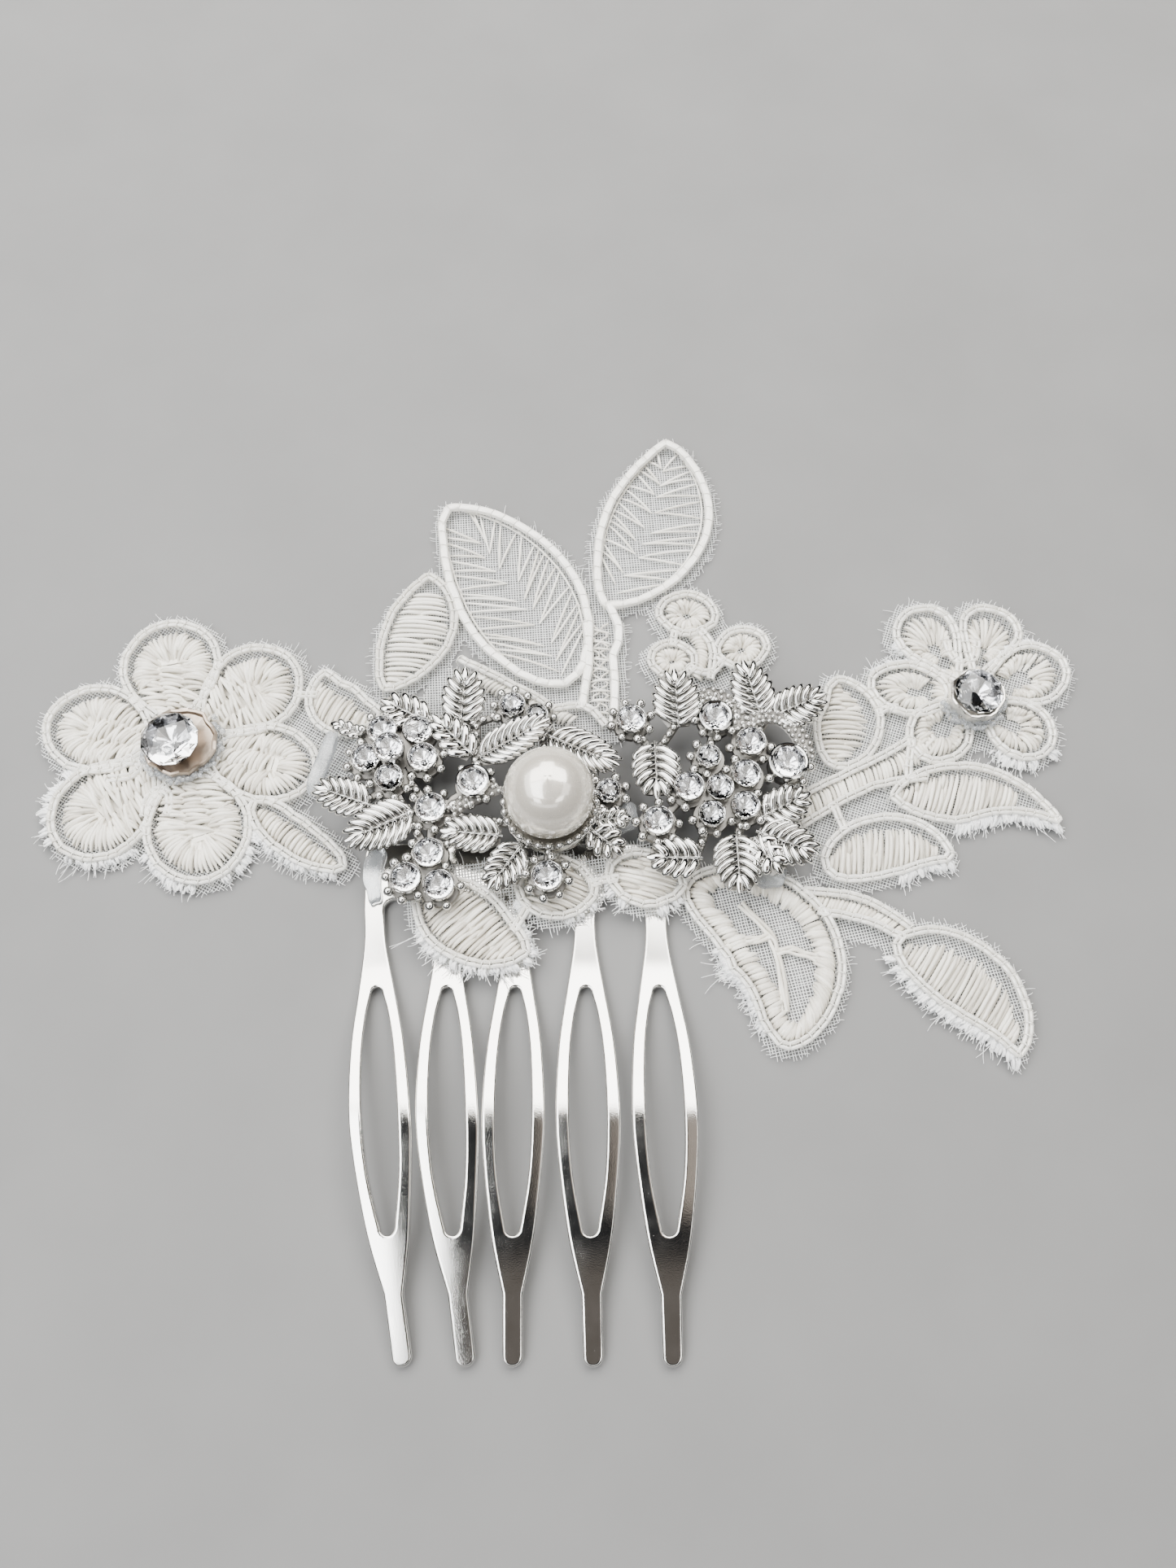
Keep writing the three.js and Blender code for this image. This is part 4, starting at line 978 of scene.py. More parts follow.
LEFT_HUB = (-43.7, 10.9)
LEFT_PETALS = [petal(LEFT_HUB, *row) for row in (
    ((-46.0, 21.6), 5.6, 5.6, 3.6), ((-35.7, 18.5), 5.5, 5.4, 3.6), ((-33.2, 8.9), 5.8, 4.6, 3.4),
    ((-40.3, 1.0), 6.3, 5.7, 3.2), ((-51.6, 3.0), 5.7, 5.5, 3.6), ((-53.8, 13.3), 5.7, 5.2, 3.6),
)]
SMALL_LEAF = leaf((-27.5, 20.6), (-25.6, 16.0), (-20.3, 15.0), 3.1, 3.1, 0.5, 0.75)
STEM_LEAF = leaf((-34.2, 4.4), (-29.8, 0.4), (-23.4, -3.4), 1.9, 2.2, 0.5, 0.45)
SATIN_LEAF = leaf((-20.4, 18.4), (-16.8, 28.0), (-15.8, 33.8), 3.3, 4.7, 0.4, 0.9)
BIG_LEAF = leaf((0.9, 19.0), (-5.2, 32.4), (-14.2, 43.4), 7.6, 6.8, 0.44, 0.67)
RIGHT_LEAF = leaf((5.8, 29.6), (11.3, 42.0), (13.9, 53.4), 5.3, 7.6, 0.47, 0.74)
STEM_LEFT = [(3.5, 27.2), (3.8, 22.1), (3.0, 15.8)]
STEM_RIGHT = [(6.2, 29.8), (7.6, 26.0), (6.7, 22.6), (6.9, 20.0), (6.6, 13.6)]
UNDER_LEFT = [(-11.6, 22.4), (-3.8, 18.2), (-0.3, 15.8)]
UNDER_RIGHT = [(-0.3, 15.8), (3.4, 16.1), (5.8, 13.6)]
FLORET_PETALS = [
    leaf((12.3, 28.0), (15.7, 28.4), (19.0, 27.4), 2.8, 2.7, 0.5, 0.5),
    leaf((16.4, 21.6), (13.8, 22.2), (11.1, 22.3), 2.3, 2.3, 0.5, 0.5),
    leaf((19.2, 22.8), (22.2, 23.8), (25.1, 24.6), 2.6, 2.5, 0.5, 0.5),
]
FLORET_STEMS = [
    [(17.0, 26.3), (18.6, 24.0), (18.2, 19.6)],
    [(14.2, 26.2), (14.0, 25.2), (13.9, 24.0)],
    [(20.0, 22.2), (19.2, 21.4), (18.4, 20.4)],
    [(15.6, 21.4), (17.0, 20.6), (18.4, 20.4)],
]
RIGHT_HUB = (48.7, 17.4)
RIGHT_PETALS = [petal(RIGHT_HUB, *row) for row in (
    ((44.2, 26.0), 3.2, 3.6, 2.2), ((52.2, 26.4), 2.8, 3.4, 2.2), ((56.4, 20.4), 4.2, 3.7, 2.2),
    ((54.2, 13.2), 3.8, 3.5, 2.2), ((44.6, 12.8), 3.9, 3.4, 1.6), ((41.6, 18.4), 4.6, 3.2, 2.4),
)]
UPRIGHT_LEAF = leaf((31.3, 9.1), (34.7, 14.2), (32.7, 19.4), 4.4, 3.2, 0.45, 0.5)
LONG_LEAF = leaf((38.4, 4.9), (48.8, 7.2), (57.3, 1.6), 1.3, 5.3, 0.32, 0.95)
LOWER_LEAF = leaf((30.3, -3.8), (38.5, -0.9), (44.3, -2.5), 3.5, 3.2, 0.35, 0.72)
INNER_LOOP = [(46.6, 24.8), (47.2, 22.4), (48.5, 21.6), (49.8, 22.4), (50.4, 24.8)]
BAND_UPPER = [(26.6, 4.4), (31.6, 6.8), (36.4, 9.2), (41.2, 12.0)]
BAND_LOWER = [(26.6, 0.6), (32.0, 3.9), (36.6, 6.2), (42.6, 7.2)]
BAND_MIDDLE = [(27.6, 3.0), (33.6, 6.2), (40.4, 9.4), (44.0, 12.4)]
OPEN_LEAF = leaf((14.4, -6.0), (25.2, -11.8), (24.3, -23.2), 5.4, 6.6, 0.49, 0.5)
OPEN_VEINS = [
    [(20.6, -7.6), (23.4, -11.0), (24.3, -13.4), (24.8, -19.6)],
    [(23.6, -11.4), (21.4, -11.8), (18.6, -12.4)],
    [(24.2, -13.0), (26.4, -13.0), (28.8, -14.0)],
]
FAR_LEAF = leaf((37.2, -12.3), (46.0, -17.7), (49.0, -24.2), 4.3, 3.5, 0.36, 0.82)
STEM_UPPER = [(27.6, -6.2), (34.2, -7.2), (39.0, -10.4)]
STEM_LOWER = [(29.0, -8.6), (34.1, -9.6), (38.2, -11.6)]
BOTTOM_LEFT = leaf((-14.3, -5.9), (-9.2, -11.0), (-2.8, -13.3), 4.4, 3.4, 0.42, 0.6)
BOTTOM_MIDDLE = leaf((0.6, -2.9), (0.2, -5.9), (-0.1, -9.5), 4.3, 4.2, 0.55, 0.5)
BOTTOM_RIGHT = leaf((11.0, -2.4), (10.2, -5.4), (9.7, -8.2), 4.0, 4.4, 0.45, 0.6)
# Under the spine and the teeth, where the motifs at the ground have no net
KEEP_OUT = np.array([(SPINE_LEFT - 0.5, SPINE_HIGH + 0.4), (SPINE_LEFT - 0.5, -60.0),
                     (SPINE_RIGHT + 0.5, -60.0), (SPINE_RIGHT + 0.5, SPINE_HIGH + 0.4)])


def circle(centre, radius, steps=32):
    """A round patch of net."""
    return np.array(arc(*centre, radius, 0, 2 * math.pi * (1 - 1 / steps), steps - 1, ends=True))


def motif(name, node, work_node, shapes, patches, cuts, level, turn, stitches, cords, fringes, seed):
    """One lace motif: its net, its stitching, its couched cord and its clipped fringe. node
    and work_node are what its CAD nodes' names begin with and what its stitching is called."""
    rng = random.Random(SEED + seed)
    gauze, fluff, work, rope = Shell(), Shell(), Shell(), Shell()
    loops = [outline(shape, NET_MARGIN) for shape in shapes]
    loops += [np.array(patch, float) for patch in patches]
    area = net(gauze, fluff, loops, cuts, level, turn, rng)
    for make, shape, *rest in stitches:
        make(work, shape, level, rng, *rest)
    for path, closed, facet, single in cords:
        cord(rope, path, level, rng, closed, facet, single)
    for shape, share, start, end, reach in fringes:
        fringe(fluff, shape, share, start, end, level, rng, reach)
    cloth = gauze.piece(f"{name}_tulle", TULLE, "tulle_net", [f"{node}_net"], sharp=80)
    fray = fluff.piece(f"{name}_fringe", FLUFF, "tulle_net", sharp=80)
    worked = work.piece(f"{name}_stitches", HERRING if "spray" in name else RAYON, "satin_thread",
                        [f"{node}_{work_node}"], sharp=70)
    couching = rope.piece(f"{name}_couching", CORDING, "couched_cord", [f"{node}_cord"], sharp=40)


def rings(shapes, facet=1.3, single=False):
    """Cords round shapes, for motif()."""
    return [(outline(shape), True, facet, single) for shape in shapes]


def lines(paths, facet=1.3, single=False):
    """Cords along open lines, for motif()."""
    return [(spline(path, 16), False, facet, single) for path in paths]


def hub_stitches(shell, hub, level, rng, inner, outer, count):
    """Short stitches round the middle of a flower."""
    for i in range(count):
        turn = 2 * math.pi * (i + rng.uniform(0.2, 0.8)) / count
        way = np.array([math.cos(turn), math.sin(turn)])
        skew = left_of(way) * rng.uniform(-0.5, 0.5)
        start, end = np.array(hub) + way * inner, np.array(hub) + way * outer + skew
        satin(shell, start, end, level, rng, -0.05, 0.7, 0.5, 0.32)


def left_flower():
    """The big flower with the beige crystal cup, and two leaves towards the comb."""
    shapes = LEFT_PETALS + [SMALL_LEAF, STEM_LEAF]
    stitches = [(petal_satin, shape) for shape in LEFT_PETALS]
    stitches += [
        (bar_stitches, SMALL_LEAF, 66, (0.0, 0.9), WHOLE, 0.56),
        (bar_stitches, STEM_LEAF, 58, (0.0, 0.6), WHOLE, 0.56),
        (hub_stitches, LEFT_HUB, 3.2, 5.0, 54),
    ]
    patch = [(-31, 15), (-29, 6), (-21, 9), (-21, 18)]
    fringes = [
        (LEFT_PETALS[4], -1, 0.45, 1.0, 1.7), (LEFT_PETALS[4], 1, 0.55, 1.0, 1.2),
        (LEFT_PETALS[3], -1, 0.62, 1.0, 1.6), (LEFT_PETALS[3], 1, 0.62, 1.0, 1.5),
        (STEM_LEAF, -1, 0.1, 0.95, 1.0), (LEFT_PETALS[5], -1, 0.1, 0.35, 1.0),
    ]
    cords = rings(shapes) + lines([
        [(-30.8, 17.6), (-29.6, 17.5), (-28.2, 17.6)],
        [(-53.6, 8.0), (-50.2, 8.4), (-47.2, 10.2), (-48.6, 7.4), (-51.4, 7.0)],
        [(-46.6, 2.4), (-46.5, 4.6), (-45.2, 5.8), (-43.9, 4.9), (-44.0, 2.6)],
    ])
    cuts = [KEEP_OUT, outline(SATIN_LEAF, CUT_MARGIN)]
    motif("left_flower", "left_flower", "satin", shapes, [circle(LEFT_HUB, 5.4), patch], cuts,
          OUTER_LEVEL, 62, stitches, cords, fringes, 1)


def squiggle(shell, middle, level, rng):
    """Loose threads that wander down the middle stem between its cords."""
    for lane in (-0.55, 0.45):
        rows = [(middle + lane + 0.5 * math.sin(i * 1.7 + lane * 4), 27.4 - i * 0.44,
                 level + 0.6 + 0.15 * math.sin(i * 2.3)) for i in range(30)]
        tube(shell, rows, 0.26, 0.26, 6, rng.random())
    for i in range(9):
        y = 26.6 - i * 1.35
        start = (middle - 1.3, y + rng.uniform(-0.3, 0.3))
        stitch(shell, start, (middle + 1.3, y - rng.uniform(0, 0.7)), level + 0.45, 0.35, rng, 0.3, 0.24)


def top_spray():
    """A satin leaf and two herringbone leaves on a stem."""
    shapes = [SATIN_LEAF, BIG_LEAF, RIGHT_LEAF]
    patch = [(-17.4, 14.6), (-6, 11), (8, 12), (8.4, 27), (6.6, 30.6), (3.6, 28), (2, 20), (-4, 19),
             (-14, 22)]
    stitches = [
        (bar_stitches, SATIN_LEAF, -3, (0.1, 0.4), (0.0, 0.88), 0.62),
        (herringbone, BIG_LEAF, -0.15, -0.15, 10),
        (herringbone, RIGHT_LEAF, -0.08, -0.1, 9),
        (squiggle, 5.2),
        (line_stitches, [(-10, 20.2), (-4, 17), (2, 14.4)], 0.9, 0.5),
    ]
    cords = rings([BIG_LEAF, RIGHT_LEAF], 1.9, True) + rings([SATIN_LEAF])
    cords += lines([STEM_LEFT, STEM_RIGHT], 1.9, True) + lines([UNDER_LEFT, UNDER_RIGHT])
    motif("top_spray", "top_spray", "stitching", shapes, [patch], [], OUTER_LEVEL, 4, stitches,
          cords, [], 2)


def floret():
    """Three little petals on stems."""
    stitches = [(fan_stitches, shape, 0.5, 175, 0.5, 0.3) for shape in FLORET_PETALS]
    stitches.append((line_stitches, [(15.6, 27), (17.4, 24), (16.6, 20)], 0.8))
    cords = rings(FLORET_PETALS, 1.15) + lines(FLORET_STEMS, 1.15)
    motif("floret", "floret", "satin", FLORET_PETALS, [circle((17.2, 22.6), 4.6)],
          [outline(RIGHT_LEAF, CUT_MARGIN)], OUTER_LEVEL, 25, stitches, cords, [], 3)


def right_flower():
    """The small flower with the silver crystal cup, a band and three leaves."""
    shapes = RIGHT_PETALS + [UPRIGHT_LEAF, LONG_LEAF, LOWER_LEAF]
    open_shares = (0.42, 0.3, 0.55, 0.5, 0.6, 0.34)
    stitches = [(rim_satin, shape, share) for shape, share in zip(RIGHT_PETALS, open_shares)]
    stitches += [
        (bar_stitches, UPRIGHT_LEAF, -2, (0.1, 1.3), WHOLE, 0.58),
        (bar_stitches, LONG_LEAF, 72, (0.1, 0.4), (0.27, 0.99), 0.56),
        (bar_stitches, LOWER_LEAF, 84, (0.0, 0.8), (0.06, 0.98), 0.58),
        (line_stitches, BAND_MIDDLE, 1.25, 0.5),
        (hub_stitches, RIGHT_HUB, 2.2, 3.7, 36),
    ]
    band = [(26.4, -2.4), (31, -2.4), (40, 4.5), (42, 12), (40, 21), (34, 12), (26.4, 8)]
    fringes = [
        (LONG_LEAF, -1, 0.3, 0.98, 1.7), (LOWER_LEAF, -1, 0.45, 1.0, 1.5),
        (RIGHT_PETALS[3], -1, 0.45, 1.0, 1.5), (RIGHT_PETALS[2], 1, 0.4, 0.8, 0.9),
        (RIGHT_PETALS[5], -1, 0.5, 0.95, 0.7), (RIGHT_PETALS[0], 1, 0.3, 0.7, 0.7),
    ]
    cords = rings(shapes) + lines([
        BAND_UPPER, BAND_LOWER, INNER_LOOP, [(37.4, 15.2), (38.6, 15.8), (40.0, 16.0)],
        [(41.4, 12.0), (40.8, 9.8), (40.4, 6.9)], [(31.6, 3.8), (32.2, 2.2), (32.6, 0.8)],
    ])
    motif("right_flower", "right_flower", "satin", shapes, [circle(RIGHT_HUB, 6.5), band], [],
          OUTER_LEVEL, 70, stitches, cords, fringes, 4)


def lower_leaves():
    """An open leaf with veins, and a satin leaf on a stem."""
    stitches = [
        (border_stitches, OPEN_LEAF),
        (bar_stitches, FAR_LEAF, 56, (0.0, 1.2), WHOLE, 0.6),
        (line_stitches, [(28.4, -7.4), (34, -8.6), (38.4, -11.2)], 0.9),
    ]
    stitches += [(long_threads, vein) for vein in OPEN_VEINS]
    patch = [(26, -5.4), (29, -4.4), (40, -9.4), (38, -13), (30, -11)]
    fringes = [(FAR_LEAF, -1, 0.02, 1.0, 1.6), (OPEN_LEAF, -1, 0.2, 0.98, 0.9)]
    cords = rings([OPEN_LEAF, FAR_LEAF]) + lines([STEM_UPPER, STEM_LOWER])
    motif("lower_leaves", "lower_spray", "satin", [OPEN_LEAF, FAR_LEAF], [patch],
          [KEEP_OUT, outline(LOWER_LEAF, CUT_MARGIN)], OUTER_LEVEL, 12, stitches, cords, fringes, 5)


def bottom_petals():
    """Three satin petals that hang over the comb's spine."""
    shapes = [BOTTOM_LEFT, BOTTOM_MIDDLE, BOTTOM_RIGHT]
    stitches = [(bar_stitches, shape, heading, (0.2, 0.2), WHOLE, 0.5, split)
                for shape, heading, split in zip(shapes, (42, -20, -14), (0.8, 0.7, 0.7))]
    strip = [(-13, -6.6), (11, -5.6), (11, -2.4), (-13, -3.4)]
    fringes = [(BOTTOM_LEFT, -1, 0.25, 1.0, 1.2), (BOTTOM_LEFT, 1, 0.85, 1.0, 1.0)]
    fringes += [(BOTTOM_MIDDLE, side, 0.7, 1.0, 1.2) for side in (-1, 1)]
    fringes += [(BOTTOM_RIGHT, side, 0.62, 1.0, 1.3) for side in (-1, 1)]
    cords = rings(shapes) + lines([[(-4.4, -11.2), (-3.6, -9.8), (-2.8, -8.4)],
                                   [(3.8, -6.0), (5.4, -5.4), (7.0, -5.2)]])
    motif("bottom_petals", "bottom_petals", "satin", shapes, [strip], [outline(OPEN_LEAF, 0.8)],
          SPINE_LEVEL, 8, stitches, cords, fringes, 6)


# ---------------------------------------------------------------- castings

# x, y, girdle radius, and how far the seat is raised above the others
LEFT_STONES = [
    (-19.5, 11.3, 1.6, 0), (-15.5, 11.3, 1.6, 0), (-21.1, 7.9, 1.55, 0), (-18.4, 8.6, 1.6, 1.5),
    (-14.8, 8.0, 1.6, 0), (-18.4, 5.6, 1.5, 0), (-13.6, 2.0, 1.6, 0), (-9.0, 5.0, 1.6, 0.4),
    (-13.6, -3.2, 1.6, 0), (-15.9, -6.0, 1.6, 0), (-12.3, -6.8, 1.6, 0), (-4.9, 14.4, 1.4, 0),
    (-2.1, 13.2, 1.2, 0), (6.0, 4.0, 1.3, 0), (-0.7, -5.8, 1.6, 0),
]
RIGHT_STONES = [
    (8.6, 12.7, 1.6, 0), (18.2, 13.0, 1.6, 0), (22.0, 9.9, 1.6, 0), (26.0, 7.3, 1.9, 0.4),
    (21.3, 6.0, 1.55, 0), (17.2, 8.1, 1.3, 0), (18.3, 4.4, 1.45, 0), (14.9, 4.5, 1.6, 0),
    (21.0, 2.3, 1.5, 0), (17.3, 1.3, 1.4, 0), (11.4, 0.5, 1.6, 0),
]
# Cast leaves: base, tip, half width, lobes a side and how far the tip lifts
LEFT_CAST_LEAVES = [
    ((-10.6, 12.6), (-10.4, 19.0), 2.5, 5, 0.9), ((-14.6, 12.6), (-19.8, 15.1), 2.1, 4, 0.6),
    ((-22.0, 11.0), (-25.4, 12.4), 0.8, 3, 0.2), ((-9.4, 8.6), (-13.8, 13.0), 1.9, 4, 0.9),
    ((-8.6, 8.2), (-0.8, 12.2), 2.1, 8, 1.6), ((-0.8, 10.9), (7.0, 7.0), 2.3, 8, 0.9),
    ((-20.6, 2.6), (-26.6, 4.6), 2.2, 6, 0.5), ((-15.6, 1.8), (-22.6, -1.8), 2.7, 7, 0.7),
    ((-5.9, -1.0), (-12.3, -0.6), 2.1, 6, 0.6), ((-3.6, -2.2), (-7.0, -7.1), 2.1, 5, 0.5),
    ((4.6, 0.8), (8.4, 1.0), 1.3, 3, 0.3), ((4.2, -0.4), (7.4, -3.2), 1.9, 3, 0.4),
]
RIGHT_CAST_LEAVES = [
    ((14.0, 12.2), (13.6, 18.8), 2.8, 6, 0.8), ((23.4, 13.2), (21.6, 20.0), 2.5, 6, 0.6),
    ((24.8, 13.3), (30.7, 15.8), 2.5, 6, 0.8), ((11.3, 9.9), (11.3, 3.2), 2.7, 5, 0.8),
    ((23.0, 1.2), (28.2, 3.8), 2.3, 5, 0.4), ((22.4, -0.6), (28.6, -3.2), 2.5, 6, 0.5),
    ((20.0, -0.9), (20.0, -7.5), 2.7, 6, 0.5), ((15.9, -3.6), (10.2, -3.6), 2.3, 4, 0.5),
    ((22.0, -1.4), (24.6, -5.4), 2.0, 3, 0.5),
]
# Ends of the cast bars that join the stones and leaves
LEFT_BARS = [
    ((-18.4, 8.6), (-13.6, 2.0)), ((-18.4, 5.6), (-13.6, -3.2)), ((-13.6, 2.0), (-9.0, 5.0)),
    ((-13.6, 2.0), (-5.0, 0.6)), ((-9.0, 5.0), (-4.4, 4.4)), ((-13.6, -3.2), (-13.6, 2.0)),
    ((-13.6, -3.2), (-14.6, -6.4)), ((-15.5, 11.3), (-9.4, 12.6)), ((-9.0, 5.0), (-9.0, 13.2)),
    ((-9.4, 12.6), (-4.9, 14.4)), ((-4.9, 14.4), (-1.6, 12.4)), ((-1.6, 12.8), (-1.0, 6.6)),
    ((3.0, 3.4), (6.0, 4.0)), ((-0.6, -1.8), (-0.7, -5.8)), ((2.4, -0.2), (5.4, -1.0)),
    ((2.8, 1.0), (5.8, 1.0)), ((-18.4, 5.6), (-21.4, 2.8)), ((-13.6, 2.0), (-16.6, 1.2)),
    ((-3.0, 0.2), (-4.2, -3.4)), ((-19.5, 11.3), (-22.6, 11.4)), ((4.2, 4.0), (4.6, 8.4)),
]
RIGHT_BARS = [
    ((8.6, 12.7), (11.3, 8.6)), ((11.3, 9.0), (14.9, 4.5)), ((14.0, 13.0), (11.2, 8.6)),
    ((18.2, 13.0), (17.2, 8.1)), ((18.2, 13.0), (22.0, 9.9)), ((22.0, 9.9), (24.4, 13.8)),
    ((22.0, 9.9), (26.0, 7.3)), ((22.0, 9.9), (21.3, 6.0)), ((17.2, 8.1), (18.3, 4.4)),
    ((21.0, 2.3), (23.6, 1.6)), ((21.0, 2.3), (20.0, -1.8)), ((20.0, -1.6), (23.4, -1.2)),
    ((17.3, 1.3), (15.4, -3.6)), ((11.4, 0.5), (14.9, 4.5)), ((11.4, 0.5), (12.4, -3.4)),
    ((22.4, -1.2), (23.4, -3.4)), ((17.2, 8.1), (21.3, 6.0)), ((23.4, 12.6), (24.0, 15.4)),
]
# Stones, counted from 0, whose setting has a thick rolled rim
ROUND_COLLETS = {("left", 7), ("right", 3), ("right", 1)}
# Middle lines of the beaded curls
RIGHT_CURLS = [
    [(16.5, 15.4), (17.6, 16.0), (18.9, 15.5), (20.0, 14.4), (20.8, 13.0), (21.3, 11.9)],
    [(21.6, 11.9), (22.8, 12.9), (24.5, 13.1), (26.1, 12.5), (27.3, 11.1), (28.0, 9.6), (28.1, 8.1)],
]
LEFT_CURLS = [[(-11.3, 1.7), (-10.0, 2.8), (-8.2, 3.8), (-6.5, 4.7)]]


def cast_leaf(shell, web, base, tip, half, lobes, lift, low=4.0):
    """A cast leaf: plump lobes that sweep out and forward from a midrib, on a plate of dark metal that is
    painted shade.
    """
    base, tip = np.asarray(base, float), np.asarray(tip, float)
    way = tip - base
    length = float(np.linalg.norm(way))
    side = unit(left_of(way))

    def wide(t):
        return half * math.sin(math.pi * min(max(0.1 + 0.84 * t, 0.0), 0.95)) ** 0.55

    def at(t, height, out=0.0):
        return (*(base + way * t + side * out), low + lift * t + height)

    steps = np.linspace(0.0, 0.94, 9)
    # The plate under the lobes, in the dark web metal: painted shade seen in the gaps between them
    tube(web, [at(t, 0.1) for t in steps], [1.7 * wide(t) for t in steps], 0.45, 12)
    for way_out in (-1, 1):
        for k in range(lobes):
            root = 0.03 + (k + (0.2 if way_out > 0 else 0.0)) * 0.8 / lobes
            end = min(root + 0.28, 1.02)
            path, widths, heights = [], [], []
            for u in (0.0, 0.12, 0.3, 0.5, 0.7, 0.85, 0.95, 1.0):
                out = wide(end) * (0.6 * u + 0.4 * math.sin(0.5 * math.pi * u)) * way_out
                rise = 0.42 * math.sin(math.pi * (0.12 + 0.72 * u))
                swell = math.sqrt(1 - (1.88 * u - 0.9) ** 4)
                path.append(at(root + (end - root) * u ** 1.5, 0.3 + rise, out))
                widths.append(LOBE_FILL * length / lobes * swell)
                heights.append(0.9 * swell)
            tube(shell, path, widths, heights, 10)
    crest = [at(t, 0.45 + 0.25 * math.sin(math.pi * min(t + 0.1, 1))) for t in np.linspace(0.7, 1.02, 6)]
    tube(shell, crest, [0.4, 0.8, 1.0, 1.0, 0.85, 0.4], [0.5, 0.75, 0.85, 0.8, 0.6, 0.3], 10)
    line = [at(t, 0.62) for t in np.linspace(-0.04, 0.86, 8)]
    tube(shell, line, np.linspace(0.42, 0.16, 8), np.linspace(0.6, 0.3, 8), 8)


def curl(web, beads, line, half=0.95, z=4.9):
    """A flat curled band, in dark metal as painted shade, crusted with three rows of beads."""
    path = spline(line, 18)
    tube(web, [(x, y, z - 0.1) for x, y in path], np.linspace(half * 1.6, half * 2.2, 19), 0.4, 8)
    along = lengths(path)
    count = int(along[-1] / 0.72)
    for i in range(count + 1):
        for share in (-0.72, 0.0, 0.72):
            place = along[-1] * min((i + (0.5 if share == 0 else 0.0)) / count, 1.0)
            index = int(np.searchsorted(along, place))
            way = unit(path[min(index + 1, 18)] - path[max(index - 1, 0)])
            wide = half * (0.75 + 0.3 * place / along[-1])
            ball(beads, *(point_at(place, along, path) + left_of(way) * wide * share), z + 0.15, 0.3)


def collet(shell, x, y, radius, floor, wall):
    """A round setting whose rolled rim, wall thick, holds the girdle."""
    base = floor - 0.45
    lathe(shell, [(radius - 0.5, base), (radius + wall * 0.7, base), (radius + wall, floor + 0.5),
                  (radius + wall * 0.9, floor + 1.02), (radius + wall * 0.4, floor + 1.12),
                  (radius - 0.03, floor + 1.04), (radius + 0.02, floor + 0.8),
                  (radius - 0.45, floor - 0.15)], x, y, 36)


def clear_of(spot, others, gap):
    """True if a spot is further than gap from the edges of all the others: x, y and radius."""
    return all(math.dist(spot, other[:2]) > other[2] + gap for other in others)


def granulation(shell, stones, avoid, rng):
    """Beads on posts round the stones, wherever there is room."""
    placed = []
    for x, y, radius, _ in stones:
        start = rng.uniform(0, 2 * math.pi)
        for k in range(GRAINS):
            size = rng.uniform(*GRAIN_SIZES)
            spot = about(x, y, radius + 0.2 + size, start + 2 * math.pi * k / GRAINS)
            if (clear_of(spot, stones, size + 0.12) and clear_of(spot, placed, size + 0.3)
                    and clear_of(spot, avoid, 0.0)):
                placed.append((*spot, size))
    for x, y, size in placed:
        z = rng.uniform(4.45, 4.85)
        ball(shell, x, y, z, size, rings=9, sides=16)
        tube(shell, [(x, y, BASE_LOW), (x + 0.01, y, z)], size * 0.9, size * 0.9, 6)


def pads(shell, beads, stones, bars, rng):
    """The cast web under the stones and leaves, in dark metal as painted shade, with beads along it."""
    for x, y, radius, raised in stones:
        wide = min(2.2, radius + 0.65)
        lathe(shell, [(0.05, BASE_LOW), (wide - 0.15, BASE_LOW), (wide, BASE_LOW + 0.2),
                      (wide - 0.1, BASE_HIGH - 0.05), (0.05, BASE_HIGH)], x, y, 20)
        if raised:
            top = STONE_FLOOR + raised
            lathe(shell, [(0.05, BASE_LOW), (0.75, BASE_LOW), (0.75, top), (0.05, top)], x, y, 12)
    for start, end in bars:
        start, end = np.array(start), np.array(end)
        rows = [(*(start + (end - start) * s), 3.8) for s in np.linspace(0, 1, 5)]
        tube(shell, rows, 1.0, 0.6, 8)
        count = int(math.dist(start, end))
        for i in range(count + 1):
            spot = start + (end - start) * i / max(count, 1)
            if clear_of(spot, stones, 0.6):
                ball(beads, *spot, BASE_HIGH, rng.uniform(0.42, 0.5))


def settings(shell, stones, side):
    """Collets for the stones: a few have a thick rolled rim, the others a fine one."""
    for index, (x, y, radius, raised) in enumerate(stones):
        collet(shell, x, y, radius, STONE_FLOOR + raised, 0.34 if (side, index) in ROUND_COLLETS else 0.14)


def chaton_points(x, y, radius, floor, turn):
    """A small brilliant: table, star, girdle and a shallow pavilion that clears its foil."""
    points = [(x, y, floor + 0.5)]
    for share, z, count, offset in ((0.55, 1.5, 8, 0.0), (0.82, 1.32, 8, 0.5), (1.0, 1.0, 16, 0.0),
                                    (1.0, 0.88, 16, 0.0), (0.5, 0.66, 8, 0.0)):
        points += [about(x, y, radius * share, turn + 2 * math.pi * (k + offset) / count, floor + z)
                   for k in range(count)]
    return points


